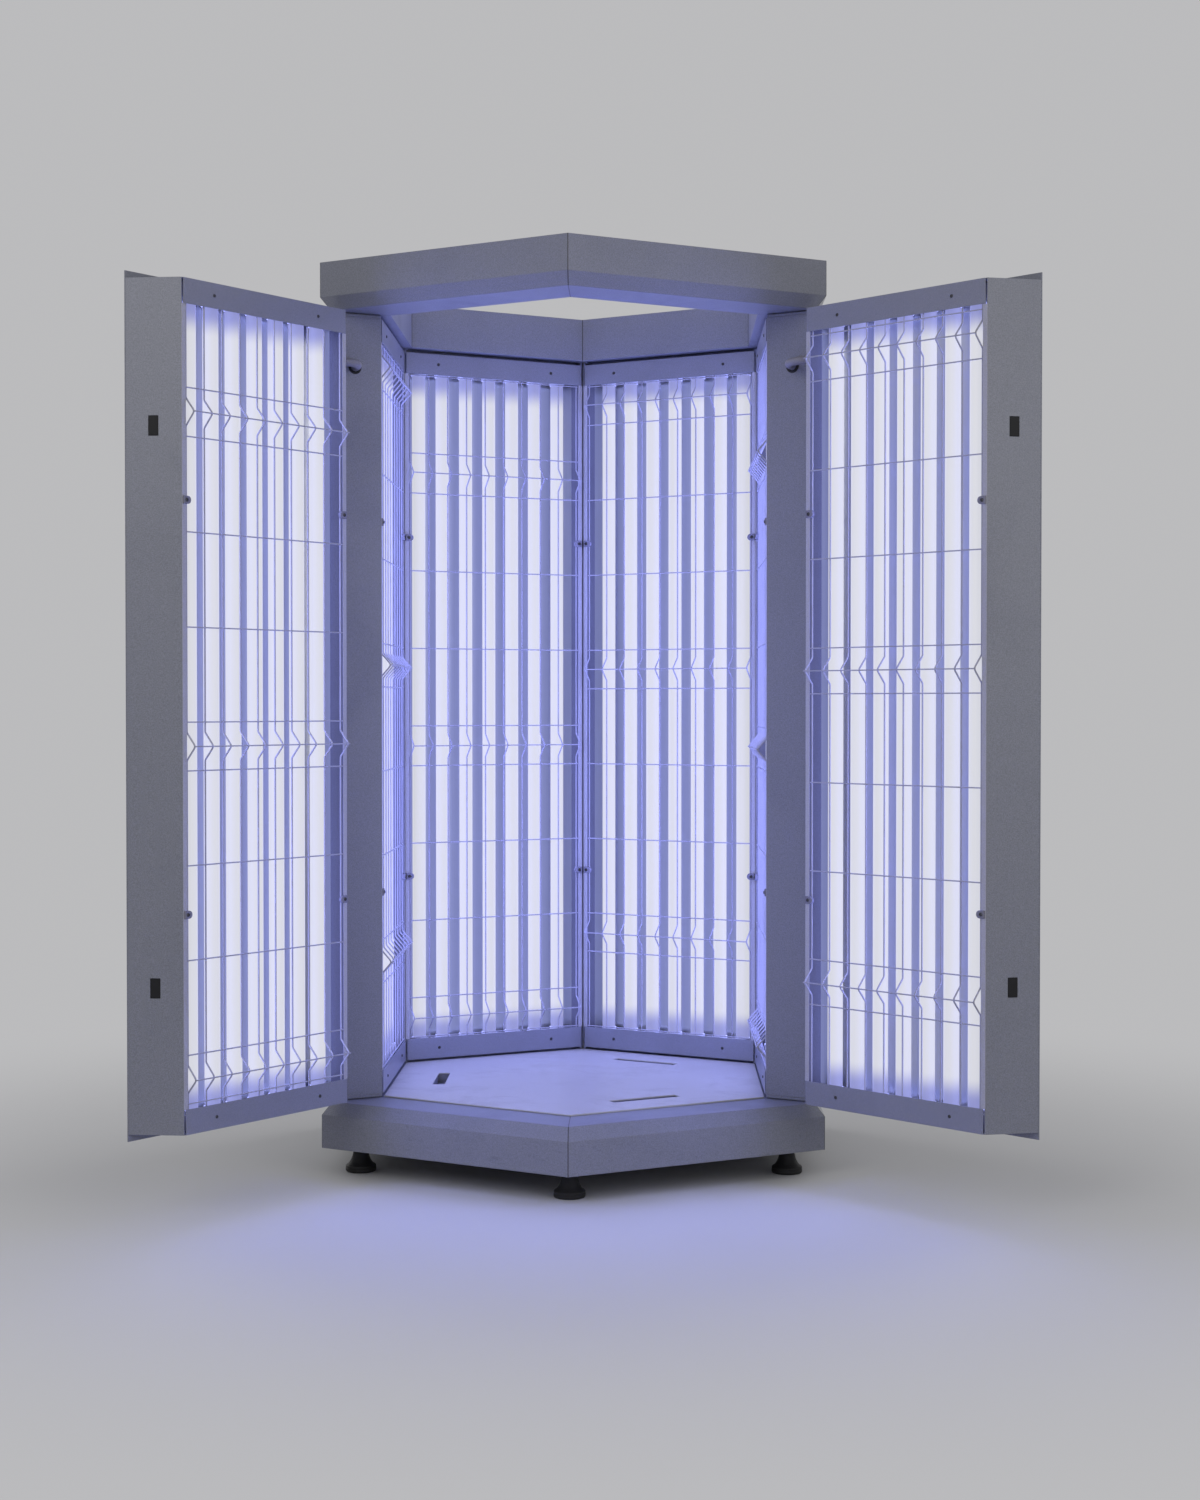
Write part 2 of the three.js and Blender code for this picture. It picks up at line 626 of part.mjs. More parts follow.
function footPlaces() {
  const names = ['front', 'front_right', 'rear_right', 'rear', 'rear_left', 'front_left'];
  return names.map((name, i) => {
    const angle = (-90 + 60 * i) * DEG;
    return [`foot_${name}`, FOOT_PLACE * Math.cos(angle), FOOT_PLACE * Math.sin(angle)];
  });
}

function foot(x, y) {
  const flare = FOOT_RADIUS - FOOT_NECK;
  const rise = FOOT_HEIGHT - FOOT_RIM;
  const bell = [
    [0, 0],
    [FOOT_RADIUS - FOOT_ROUND, 0],
    [FOOT_RADIUS, FOOT_ROUND],
    [FOOT_RADIUS, FOOT_RIM],
    [FOOT_NECK + flare * 0.72, FOOT_RIM + rise * 0.12],
    [FOOT_NECK + flare * 0.28, FOOT_RIM + rise * 0.45],
    [FOOT_NECK, FOOT_HEIGHT],
  ];
  const stemTop = BASE_BOTTOM + STEM_REACH;
  const stem = [[STEM_RADIUS, FOOT_HEIGHT], [STEM_RADIUS, stemTop], [0, stemTop]];
  return turned([...bell, ...stem], 12).translate(x, y, 0);
}

put(booth, 'base_plinth', plinth(), paint);
put(booth, 'floor_plate', floorPlate(), white);
put(booth, 'ballast_tray', ballastTray(), tin);
put(booth, 'canopy', canopyRing(), paint);
footPlaces().forEach(([name, x, y]) => put(booth, name, foot(x, y), black));

const leftWall = wall('left_wall', 180, -1, -1);
const rightWall = wall('right_wall', 0, 1, 1);
wall('rear_left_wall', 120, 1, 0);
wall('rear_right_wall', 60, -1, 0);
door('left_door', -120, -150, -LEFT_OPEN, 1, 1);
door('right_door', -60, -30, RIGHT_OPEN, -1, -1);

put(leftWall, 'left_hinge_fixed_leaf', hingeLeaf(-1, 0), steel);
put(leftWall, 'left_hinge_pin', hingePin(-1), steel);
put(rightWall, 'right_hinge_fixed_leaf', hingeLeaf(1, 0), steel);
put(rightWall, 'right_hinge_pin', hingePin(1), steel);
put(booth, 'left_power_lead', powerLead(-150, -LEFT_OPEN), conduit);
put(booth, 'right_power_lead', powerLead(-30, RIGHT_OPEN), conduit);

// The origin lies under the middle of the booth as it stands with its doors open.
const reach = new THREE.Box3().setFromObject(booth, true);
const middle = reach.getCenter(new THREE.Vector3());
booth.children.forEach((child) => child.position.sub(new THREE.Vector3(middle.x, middle.y, 0)));

export default booth;
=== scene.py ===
# %% [markdown]
# This lesson dresses a stand-up tanning booth. A six-sided cabinet of lamp panels stands on a low base
# under an open ring canopy, and its two front panels are doors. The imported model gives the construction,
# and every piece made here takes its place and size from it.

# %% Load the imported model
import json
import math
import bpy
from mathutils import Matrix, Vector


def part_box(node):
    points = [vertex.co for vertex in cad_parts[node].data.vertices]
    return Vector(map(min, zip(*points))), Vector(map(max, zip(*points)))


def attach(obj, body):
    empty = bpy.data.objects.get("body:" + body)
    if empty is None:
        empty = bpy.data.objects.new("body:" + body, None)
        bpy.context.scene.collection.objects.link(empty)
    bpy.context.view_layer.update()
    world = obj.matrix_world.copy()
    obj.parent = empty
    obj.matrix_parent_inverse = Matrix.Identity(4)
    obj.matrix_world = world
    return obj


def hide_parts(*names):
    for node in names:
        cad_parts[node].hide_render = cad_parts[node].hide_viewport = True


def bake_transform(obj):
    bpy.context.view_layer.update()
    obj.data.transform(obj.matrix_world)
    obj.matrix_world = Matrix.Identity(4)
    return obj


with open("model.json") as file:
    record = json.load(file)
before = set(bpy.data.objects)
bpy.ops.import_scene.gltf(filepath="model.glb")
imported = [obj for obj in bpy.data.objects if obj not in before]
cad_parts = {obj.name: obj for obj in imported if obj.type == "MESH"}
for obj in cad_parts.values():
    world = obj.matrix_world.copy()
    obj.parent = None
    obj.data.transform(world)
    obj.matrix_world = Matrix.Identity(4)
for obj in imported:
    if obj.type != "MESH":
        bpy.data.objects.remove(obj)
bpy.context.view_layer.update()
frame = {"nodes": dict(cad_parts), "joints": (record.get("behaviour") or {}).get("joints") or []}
NODES = frame["nodes"]
JOINTS = {joint["name"]: joint for joint in frame["joints"]}

# %% [markdown]
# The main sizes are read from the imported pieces. The left wall faces straight to the left, so the distance
# of its pieces from the booth's upright axis can be read off their boxes.

# %% Sizes taken from the frame
def middle_of(node):
    low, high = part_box(node)
    return (Vector(low) + Vector(high)) / 2

def half_height(node):
    low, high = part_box(node)
    return (high[2] - low[2]) / 2

def depths(node):
    """How far a piece of the left wall lies from the axis: its near and far face."""
    low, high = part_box(node)
    return AXIS.x - high[0], AXIS.x - low[0]

AXIS = middle_of("canopy")
MIDDLE = middle_of("left_wall_casing").z
WALL_HALF = (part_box("left_wall_top_strip")[1][2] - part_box("left_wall_bottom_strip")[0][2]) / 2
DOOR_HALF = half_height("left_door_frame")
FACE = depths("left_wall_top_strip")[0]
SKIN = depths("left_wall_casing")[1]
SIN30 = 0.5
COS30 = math.cos(math.radians(30))
TAN30 = SIN30 / COS30
print("axis", AXIS.to_tuple(3), "face", round(FACE, 4), "skin", round(SKIN, 4))

# %% [markdown]
# All six panels are alike, so each piece is modelled once in a panel's own space and then copied. In that
# space X runs along the panel, Y is the distance out from the axis, and Z is the height above the panel's
# middle. A matrix puts each copy on its wall. For a door it also swings the copy open about the hinge.

# %% Places of the six panels
def panel_matrix(facing, hinge=None):
    place = Matrix.Translation((AXIS.x, AXIS.y, MIDDLE)) @ Matrix.Rotation(math.radians(facing - 90), 4, "Z")
    if hinge:
        line = Vector(JOINTS[hinge]["pos_m"])
        swing = Matrix.Rotation(opening_of(hinge), 4, "Z")
        place = Matrix.Translation(line) @ swing @ Matrix.Translation(-line) @ place
    return place

def opening_of(hinge):
    """How far a door stands open at rest: its joint's lower limit is the closed door."""
    joint = JOINTS[hinge]
    return -joint["axis"][2] * math.radians(joint["range_deg"][0])

PANELS = {}
for name, facing, upside_down in (
    ("left_wall", 180, True), ("right_wall", 0, False), ("rear_left_wall", 120, False),
    ("rear_right_wall", 60, True), ("left_door", -120, False), ("right_door", -60, True),
):
    is_door = name.endswith("door")
    PANELS[name] = {
        "body": name if is_door else "cabinet", "half": DOOR_HALF if is_door else WALL_HALF,
        "upside_down": upside_down, "place": panel_matrix(facing, name + "_hinge" if is_door else None)}
WALLS = [name for name in PANELS if name.endswith("wall")]
HINGED_ENDS = {"left_wall": -1, "right_wall": 1, "left_door": 1, "right_door": -1}
print("panels:", list(PANELS))

# %% [markdown]
# The camera stands where the photographer stood: about six and a half metres in front of the booth,
# a little to the right, at chest height, with a short telephoto lens. It looks slightly left and down.

# %% Camera
CAMERA_FROM_AXIS = Vector((0.1923, -6.5072, 1.2166))
CAMERA_LEFT = math.radians(1.142)
CAMERA_DOWN = math.radians(1.087)
CAMERA_LENS = 57.2
SENSOR = 36

bpy.ops.object.select_all(action="DESELECT")
bpy.ops.object.camera_add(
    location=(AXIS.x + CAMERA_FROM_AXIS.x, AXIS.y + CAMERA_FROM_AXIS.y, CAMERA_FROM_AXIS.z),
    rotation=(math.pi / 2 - CAMERA_DOWN, 0, CAMERA_LEFT),
)
camera = bpy.context.object
camera.data.lens = CAMERA_LENS
camera.data.sensor_width = SENSOR
bpy.context.scene.camera = camera
bpy.context.scene.view_settings.view_transform = "Standard"
print("camera at", camera.location.to_tuple(3))

# %% [markdown]
# Materials are built from nodes, and a few small helpers keep that short. One adds a node with its settings
# and links, two do sums and stretch ranges, and one starts a finish: a Principled shader with its plain
# values on the shader's own sockets, and the object's own coordinates for what changes over the surface.

# %% Node helpers
def add_node(tree, kind, links=None, **settings):
    made = tree.nodes.new("ShaderNode" + kind)
    for label, value in settings.items():
        setattr(made, label, value)
    for label, value in (links or {}).items():
        if isinstance(value, bpy.types.NodeSocket):
            tree.links.new(value, made.inputs[label])
        else:
            made.inputs[label].default_value = value
    return made

def calculate(tree, operation, first, second=0.0):
    return add_node(tree, "Math", {0: first, 1: second}, operation=operation).outputs[0]

def remap(tree, value, low, high, to_low=0.0, to_high=1.0, ramp="LINEAR"):
    ends = {"From Min": low, "From Max": high, "To Min": to_low, "To Max": to_high}
    return add_node(tree, "MapRange", {"Value": value, **ends}, interpolation_type=ramp).outputs["Result"]

def start_finish(name, **values):
    finish = bpy.data.materials.new(name)
    finish.use_nodes = True
    shader = finish.node_tree.nodes["Principled BSDF"]
    for label, value in values.items():
        shader.inputs[label.replace("_", " ")].default_value = value
    return finish, finish.node_tree, shader, add_node(finish.node_tree, "TexCoord").outputs["Object"]

print("materials so far:", len(bpy.data.materials))

# %% [markdown]
# The studio is plain. Its surround is a pale grey that the camera and shiny metal see at full strength,
# while the booth gets less light from it, so that the shading stays soft but not flat. A small helper
# tells the rays that look at the studio from the rays that only carry light.

# %% Surround
SURROUND = (0.50, 0.50, 0.51, 1)
SURROUND_LIGHT = 0.70

def looking_rays(tree):
    """A mask that is 1 for camera, glossy and transmitted rays."""
    rays = add_node(tree, "LightPath").outputs
    seen = calculate(tree, "MAXIMUM", rays["Is Camera Ray"], rays["Is Glossy Ray"])
    return calculate(tree, "MAXIMUM", seen, rays["Is Transmission Ray"])

world = bpy.data.worlds.new("studio_surround")
bpy.context.scene.world = world
world.use_nodes = True
tree = world.node_tree
backdrop = tree.nodes["Background"]
backdrop.inputs["Color"].default_value = SURROUND
tree.links.new(remap(tree, looking_rays(tree), 0, 1, SURROUND_LIGHT), backdrop.inputs["Strength"])
print("surround light", SURROUND_LIGHT)

# %% [markdown]
# The floor is pale paper. It takes the booth's shadow and its violet light near by, and further out it
# fades into the surround, so that no horizon cuts across the picture. From below it is clear, because the
# booth's underside is looked at too.

# %% Studio floor
FLOOR_SIZE = 60
FLOOR_COLOUR = (0.58, 0.58, 0.59, 1)
FLOOR_ROUGH = 0.9
FADE_FROM = 0.9
FADE_TO = 3.2

bpy.ops.object.select_all(action="DESELECT")
bpy.ops.mesh.primitive_plane_add(size=FLOOR_SIZE, location=(0, 0, 0))
studio_floor = bpy.context.object
studio_floor.name = "studio_floor"
paper, tree, sheet, spot = start_finish("studio_paper", Base_Color=FLOOR_COLOUR, Roughness=FLOOR_ROUGH)
far = add_node(tree, "VectorMath", {0: spot}, operation="LENGTH").outputs["Value"]
fade = remap(tree, far, FADE_FROM, FADE_TO, ramp="SMOOTHSTEP")
haze = add_node(tree, "Emission", {"Color": SURROUND})
shown = calculate(tree, "MULTIPLY", fade, looking_rays(tree))
faded = add_node(tree, "MixShader", {0: shown, 1: sheet.outputs[0], 2: haze.outputs[0]})
underside = add_node(tree, "NewGeometry").outputs["Backfacing"]
clear = add_node(tree, "BsdfTransparent")
below = add_node(tree, "MixShader", {0: underside, 1: faded.outputs[0], 2: clear.outputs[0]})
tree.links.new(below.outputs[0], tree.nodes["Material Output"].inputs["Surface"])
studio_floor.data.materials.append(paper)
print("floor fades between", FADE_FROM, "and", FADE_TO, "m")

# %% [markdown]
# Four large soft lamps stand round the booth: two in front, the left one stronger, and two behind, so that
# the back of the cabinet reads as well as its front.

# %% Soft lamps
LAMP_AIM = Vector((0, 0, 1.1))
SOFTBOX_SIZE = 3.0
SOFT_LAMPS = {
    "key": ((-2.6, -5.2, 3.6), 64),
    "fill": ((3.4, -4.6, 2.6), 42),
    "rear_left": ((-4.2, 3.6, 3.2), 75),
    "rear_right": ((4.2, 3.6, 3.2), 75),
}
centre = Vector((AXIS.x, AXIS.y, 0))
for name, (place, power) in SOFT_LAMPS.items():
    turn = (LAMP_AIM - Vector(place)).to_track_quat("-Z", "Y").to_euler()
    bpy.ops.object.light_add(type="AREA", location=centre + Vector(place), rotation=turn)
    softbox = bpy.context.object
    softbox.name = name + "_softbox"
    softbox.data.size = SOFTBOX_SIZE
    softbox.data.energy = power
print("soft lamps:", len(SOFT_LAMPS))

# %% [markdown]
# Some effects come back on many finishes, so each is a node group, with a vector, named values and named
# outputs.

# %% Effect groups
def new_group(name, inputs, outputs):
    group = bpy.data.node_groups.new(name, "ShaderNodeTree")
    group.interface.new_socket("Vector", in_out="INPUT", socket_type="NodeSocketVector")
    for label, value in inputs.items():
        socket = group.interface.new_socket(label, in_out="INPUT", socket_type="NodeSocketFloat")
        socket.default_value = value
    for label in outputs:
        group.interface.new_socket(label, in_out="OUTPUT", socket_type="NodeSocketFloat")
    return group, group.nodes.new("NodeGroupInput"), group.nodes.new("NodeGroupOutput")

print("groups so far:", len(bpy.data.node_groups))

# %% [markdown]
# Grain is the fine pebbled skin of powder coat, rubber and plastic: a fine noise and small round cells,
# added. Smudges are the broad uneven patches that handling leaves, cut out of a slow noise.

# %% Grain and smudges
def make_grain():
    group, start, end = new_group("fine_grain", {"Scale": 900.0, "Depth": 0.5}, ["Height", "Mask"])
    at = {"Vector": start.outputs["Vector"], "Scale": start.outputs["Scale"]}
    fine = add_node(group, "TexNoise", {**at, "Detail": 3.0, "Roughness": 0.55})
    pebbles = add_node(group, "TexVoronoi", at, feature="SMOOTH_F1")
    both = calculate(group, "ADD", fine.outputs["Fac"], pebbles.outputs["Distance"])
    height = calculate(group, "MULTIPLY", both, start.outputs["Depth"])
    group.links.new(height, end.inputs["Height"])
    group.links.new(fine.outputs["Fac"], end.inputs["Mask"])
    return group

def make_smudges():
    group, start, end = new_group("smudges", {"Scale": 3.0, "From": 0.48, "To": 0.75}, ["Mask"])
    broad = add_node(group, "TexNoise",
                     {"Vector": start.outputs["Vector"], "Scale": start.outputs["Scale"],
                      "Detail": 5.0, "Roughness": 0.62, "Distortion": 0.4})
    patch = remap(group, broad.outputs["Fac"], start.outputs["From"], start.outputs["To"], ramp="SMOOTHSTEP")
    group.links.new(patch, end.inputs["Mask"])
    return group

GRAIN, SMUDGES = make_grain(), make_smudges()
print("effects:", GRAIN.name, SMUDGES.name)

# %% [markdown]
# Streaks are the straight rolling or brushing marks on metal: a noise squeezed across and drawn out along.
# Scuffs are the marks that shoes leave low on the base. They get fewer with the height above the floor.

# %% Streaks and scuffs
SCUFF_TOP, SCUFF_LOW = 0.24, 0.06
SCUFF_FROM, SCUFF_TO = 0.56, 0.72
SCUFF_MOST = 0.55
SCUFF_FLATTEN = (1.0, 1.0, 3.0)

def make_streaks():
    group, start, end = new_group("streaks", {"Across": 600.0, "Along": 6.0}, ["Mask"])
    vector, across, along = (start.outputs[label] for label in ("Vector", "Across", "Along"))
    stretch = add_node(group, "CombineXYZ", {"X": across, "Y": across, "Z": along}).outputs[0]
    drawn = add_node(group, "VectorMath", {0: vector, 1: stretch}, operation="MULTIPLY").outputs[0]
    lines = add_node(group, "TexNoise", {"Vector": drawn, "Scale": 1.0, "Detail": 2.0, "Roughness": 0.5})
    group.links.new(lines.outputs["Fac"], end.inputs["Mask"])
    return group

def make_scuffs():
    group, start, end = new_group("low_scuffs", {"Scale": 28.0}, ["Mask"])
    vector, scale = start.outputs["Vector"], start.outputs["Scale"]
    flat = add_node(group, "VectorMath", {0: vector, 1: SCUFF_FLATTEN}, operation="MULTIPLY").outputs[0]
    rubs = add_node(group, "TexNoise",
                    {"Vector": flat, "Scale": scale, "Detail": 6.0, "Roughness": 0.7, "Distortion": 1.2})
    sharp = remap(group, rubs.outputs["Fac"], SCUFF_FROM, SCUFF_TO)
    parts = add_node(group, "SeparateXYZ", {0: vector})
    low = remap(group, parts.outputs["Z"], SCUFF_TOP, SCUFF_LOW, 0.0, SCUFF_MOST)
    group.links.new(calculate(group, "MULTIPLY", sharp, low), end.inputs["Mask"])
    return group

STREAKS, SCUFFS = make_streaks(), make_scuffs()
print("effects:", STREAKS.name, SCUFFS.name)

# %% [markdown]
# Seams are the dark hairlines where the sheets of the six-sided base and canopy meet at the corners. The
# corners lie on three lines through the axis, so a seam is where a point comes close to one of them.

# %% Corner seams
SEAM_HALF = 0.0012

def make_seams():
    group, start, end = new_group("corner_seams", {"Width": SEAM_HALF}, ["Mask"])
    parts = add_node(group, "SeparateXYZ", {0: start.outputs["Vector"]})
    nearest = None
    for direction in (90, 30, -30):
        turn = math.radians(direction)
        side_x = calculate(group, "MULTIPLY", parts.outputs["X"], math.sin(turn))
        side_y = calculate(group, "MULTIPLY", parts.outputs["Y"], -math.cos(turn))
        away = calculate(group, "ABSOLUTE", calculate(group, "ADD", side_x, side_y))
        nearest = away if nearest is None else calculate(group, "MINIMUM", nearest, away)
    line = calculate(group, "LESS_THAN", nearest, start.outputs["Width"])
    group.links.new(line, end.inputs["Mask"])
    return group

SEAMS = make_seams()
print("seams", 2000 * SEAM_HALF, "mm wide")

# %% [markdown]
# Only what changes over a surface comes through nodes: two tones mixed by a mask, a roughness that varies
# with it, and a bump from the grain.

# %% Finish helpers
def use_group(tree, group, vector, **values):
    return add_node(tree, "Group", {"Vector": vector, **values}, node_tree=group).outputs

def mix_colour(tree, factor, first, second):
    tones = [tone if isinstance(tone, bpy.types.NodeSocket) else (*tone, 1) for tone in (first, second)]
    return add_node(tree, "Mix", {"Factor": factor, 6: tones[0], 7: tones[1]}, data_type="RGBA").outputs[2]

def vary_roughness(tree, shader, mask, low, high):
    tree.links.new(remap(tree, mask, 0, 1, low, high), shader.inputs["Roughness"])

def raise_bump(tree, shader, height, strength, distance):
    bump = add_node(tree, "Bump", {"Strength": strength, "Distance": distance, "Height": height})
    tree.links.new(bump.outputs["Normal"], shader.inputs["Normal"])

def darker(tone, share):
    return tuple(share * part for part in tone)

print("half of a mid grey is", darker((0.5, 0.5, 0.5), 0.5))

# %% [markdown]
# Paint, rubber and plastic share one recipe. Smudges mix the fresh tone with a worn one, the grain flecks
# it, and the same grain raises the bump. The base and the canopy get their seams and low scuffs on top.

# %% Coats
SEAM_TONE = (0.05, 0.05, 0.055)
SCUFF_SHADE = 0.45
FLECK_FROM, FLECK_TO = 0.38, 0.62
FLECK_DARK, FLECK_LIGHT = 0.85, 1.15
COAT_BUMP, COAT_BUMP_HEIGHT = 0.35, 0.0004

def coated(name, tone, worn, grain, depth, rough, smudge=2.2, seams=False, sheen=0.5):
    finish, tree, shader, vector = start_finish(name, Metallic=0, Specular_IOR_Level=sheen)
    marks = use_group(tree, SMUDGES, vector, Scale=smudge)["Mask"]
    skin = use_group(tree, GRAIN, vector, Scale=grain, Depth=depth)
    colour = mix_colour(tree, marks, tone, worn)
    speckle = remap(tree, skin["Mask"], FLECK_FROM, FLECK_TO, FLECK_DARK, FLECK_LIGHT)
    colour = add_node(tree, "VectorMath", {0: colour, "Scale": speckle}, operation="SCALE").outputs["Vector"]
    if seams:
        rubs = use_group(tree, SCUFFS, vector)["Mask"]
        colour = mix_colour(tree, rubs, colour, darker(tone, SCUFF_SHADE))
        centred = add_node(tree, "Mapping", {"Vector": vector, "Location": (-AXIS.x, -AXIS.y, 0)})
        lines = use_group(tree, SEAMS, centred.outputs["Vector"])["Mask"]
        colour = mix_colour(tree, lines, colour, SEAM_TONE)
    tree.links.new(colour, shader.inputs["Base Color"])
    vary_roughness(tree, shader, marks, *rough)
    raise_bump(tree, shader, skin["Height"], COAT_BUMP, COAT_BUMP_HEIGHT)
    return finish

print("flecks from", FLECK_DARK, "to", FLECK_LIGHT, "of the tone")

# %% [markdown]
# The coat outside is a cool grey powder coat with a fine pebbled skin. The cover strips have the same
# paint, a little smoother. The floor plate is pale sheet with faint scuffs. The wires and the flanges
# beside them have paler coats, and a dark casing coat deep inside the panels is painted shade.

# %% Paints
COAT_GREY = (0.210, 0.218, 0.265)
COAT_WORN = (0.188, 0.196, 0.240)
COAT_ROUGH = (0.36, 0.50)
powder_coat = coated("powder_coat", COAT_GREY, COAT_WORN, 430, 0.9, COAT_ROUGH)
seamed_coat = coated("seamed_powder_coat", COAT_GREY, COAT_WORN, 430, 0.9, COAT_ROUGH, seams=True)
strip_coat = coated("strip_coat", (0.220, 0.228, 0.285), (0.198, 0.206, 0.258), 700, 0.5, (0.32, 0.46))
floor_sheet = coated("floor_sheet", (0.45, 0.44, 0.42), (0.40, 0.39, 0.37), 1200, 0.12, (0.3, 0.55), 5.0)
wire_coat = coated("wire_coat", (0.36, 0.36, 0.42), (0.31, 0.31, 0.365), 1600, 0.3, (0.28, 0.42), 9.0)
pale_coat = coated("pale_coat", (0.40, 0.40, 0.45), (0.36, 0.36, 0.41), 700, 0.5, (0.32, 0.46))
# Painted shade: a dark casing coat that darkens the front of the trough sides.
primer = coated("primer", (0.110, 0.112, 0.135), (0.095, 0.097, 0.118), 700, 0.5, (0.40, 0.55))
print("coat grey", COAT_GREY)

# %% [markdown]
# The feet and grommets are black rubber, dusty in patches. The magnets have a dull black case. The lamp
# holders are pale moulded plastic, and the guard clips and conduits are grey.

# %% Rubber and plastics
black_rubber = coated("black_rubber", (0.018, 0.018, 0.019), (0.040, 0.040, 0.041), 700, 0.4, (0.55, 0.8),
                      14.0, sheen=0.3)
magnet_case = coated("magnet_case", (0.014, 0.014, 0.016), (0.022, 0.022, 0.024), 1500, 0.3, (0.5, 0.7),
                     20.0, sheen=0.2)
conduit_skin = coated("conduit_skin", (0.24, 0.235, 0.265), (0.19, 0.187, 0.21), 1200, 0.3, (0.4, 0.6), 12.0)
holder_plastic = coated("holder_plastic", (0.72, 0.72, 0.73), (0.64, 0.64, 0.65), 1500, 0.2, (0.35, 0.5),
                        12.0)
clip_plastic = coated("clip_plastic", (0.20, 0.20, 0.25), (0.16, 0.16, 0.20), 1500, 0.2, (0.2, 0.35), 16.0)
print("moulded finishes: 5")

# %% [markdown]
# Bare metal keeps the marks of the rolling mill: streaks that change its tone, its roughness and, very
# slightly, its surface. The reflectors have the longest streaks and the brightest sheet.

# %% Metals
METAL_SMUDGE = 4.0
ROLLED_SHADE = 0.9
HANDLED_SHADE = 0.93
ROLLED_HEIGHT = 0.0003

def rolled(name, tone, rough, across, along, bump=0.1):
    finish, tree, shader, vector = start_finish(name, Metallic=1)
    lines = use_group(tree, STREAKS, vector, Across=across, Along=along)["Mask"]
    marks = use_group(tree, SMUDGES, vector, Scale=METAL_SMUDGE)["Mask"]
    colour = mix_colour(tree, lines, darker(tone, ROLLED_SHADE), tone)
    colour = mix_colour(tree, marks, colour, darker(tone, HANDLED_SHADE))
    tree.links.new(colour, shader.inputs["Base Color"])
    vary_roughness(tree, shader, lines, *rough)
    raise_bump(tree, shader, lines, bump, ROLLED_HEIGHT)
    return finish

bright_sheet = rolled("bright_reflector_sheet", (0.74, 0.75, 0.78), (0.26, 0.34), 260, 2.5, 0.04)
cap_metal = rolled("lamp_cap_metal", (0.70, 0.71, 0.73), (0.25, 0.4), 700, 700)
hinge_steel = rolled("hinge_steel", (0.52, 0.52, 0.53), (0.3, 0.45), 500, 8)
zinc = rolled("zinc_plate", (0.46, 0.47, 0.49), (0.35, 0.55), 300, 300)
dark_screw = rolled("dark_screw", (0.10, 0.10, 0.11), (0.35, 0.5), 900, 900)
print("metals: 5")

# %% [markdown]
# The tubes are fluorescent lamps with a white phosphor inside the glass. Their light is violet, but a camera
# sees the bright tubes almost white. So the material shows a pale tube, casts violet light on what is round
# it, and looks dimmer in the reflectors. Near its ends, where the electrodes are, the tube turns lavender.

# %% Lamp phosphor
TUBE_SEEN = (0.63, 0.635, 0.68)
TUBE_END = (0.25, 0.265, 0.55)
TUBE_CAST = (1.85, 2.10, 5.70)
TUBE_MIRRORED = (0.27, 0.30, 0.61)
TUBE_GLASS = (0.10, 0.10, 0.10, 1)
LAMP_END_GAP = 0.020
LAMP_HALF = DOOR_HALF - LAMP_END_GAP
END_START = 0.105
END_FULL = 0.048

phosphor, tree, shader, vector = start_finish(
    "lit_phosphor", Base_Color=TUBE_GLASS, Roughness=0.5, Emission_Strength=1.0)
height = add_node(tree, "SeparateXYZ", {0: vector}).outputs["Z"]
reach = calculate(tree, "ABSOLUTE", calculate(tree, "SUBTRACT", height, MIDDLE))
ends = remap(tree, reach, LAMP_HALF - END_START, LAMP_HALF - END_FULL, ramp="SMOOTHSTEP")
shown = mix_colour(tree, ends, TUBE_SEEN, TUBE_END)
rays = add_node(tree, "LightPath").outputs
thrown = mix_colour(tree, rays["Is Glossy Ray"], TUBE_CAST, TUBE_MIRRORED)
glow = mix_colour(tree, rays["Is Camera Ray"], thrown, shown)
tree.links.new(glow, shader.inputs["Emission Color"])
print("tube ends turn lavender over", END_START, "m")

# %% [markdown]
# A folded sheet is never quite sharp, so every sheet piece gets a narrow bevel. The bevel's faces would pull
# the shading of the flat faces round, and a weighted-normal modifier after it keeps the flats flat.

# %% Edges and paint
def only(*objects):
    """Select these objects alone, the first one active."""
    bpy.ops.object.select_all(action="DESELECT")
    for item in objects:
        item.select_set(True)
    bpy.context.view_layer.objects.active = objects[0]

def edit(made):
    """Open a piece in edit mode with everything selected."""
    only(made)
    bpy.ops.object.mode_set(mode="EDIT")
    bpy.ops.mesh.select_all(action="SELECT")

def stop_edit():
    bpy.ops.object.mode_set(mode="OBJECT")

def apply_modifier(made, kind, **settings):
    only(made)
    bpy.ops.object.modifier_add(type=kind)
    modifier = made.modifiers[-1]
    for label, value in settings.items():
        setattr(modifier, label, value)
    bpy.ops.object.modifier_apply(modifier=modifier.name)

def bevel(made, width, segments=2, angle=30):
    apply_modifier(made, "BEVEL", width=width, segments=segments, limit_method="ANGLE",
                   angle_limit=math.radians(angle))
    bpy.ops.object.shade_smooth_by_angle(angle=math.radians(angle))
    apply_modifier(made, "WEIGHTED_NORMAL", keep_sharp=True, weight=100)

def paint(made, finish):
    made.data.materials.clear()
    made.data.materials.append(finish)
    return made

print("finishes ready:", len(bpy.data.materials))

# %% [markdown]
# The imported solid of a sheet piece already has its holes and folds. A copy of its mesh is merged, its flat
# faces are made whole again, and its edges are bevelled. The canopy and the base are welded from bent
# sheets that meet at the corners, so they get the seamed coat. The other pieces are plain.

# %% Sheet metal
HEAVY_EDGE = 0.0016
PLATE_EDGE = 0.0010
PANEL_EDGE = 0.0006
STRIP_EDGE = 0.0007
MERGE_NEAR = 2e-5
FLAT_WITHIN = math.radians(0.5)

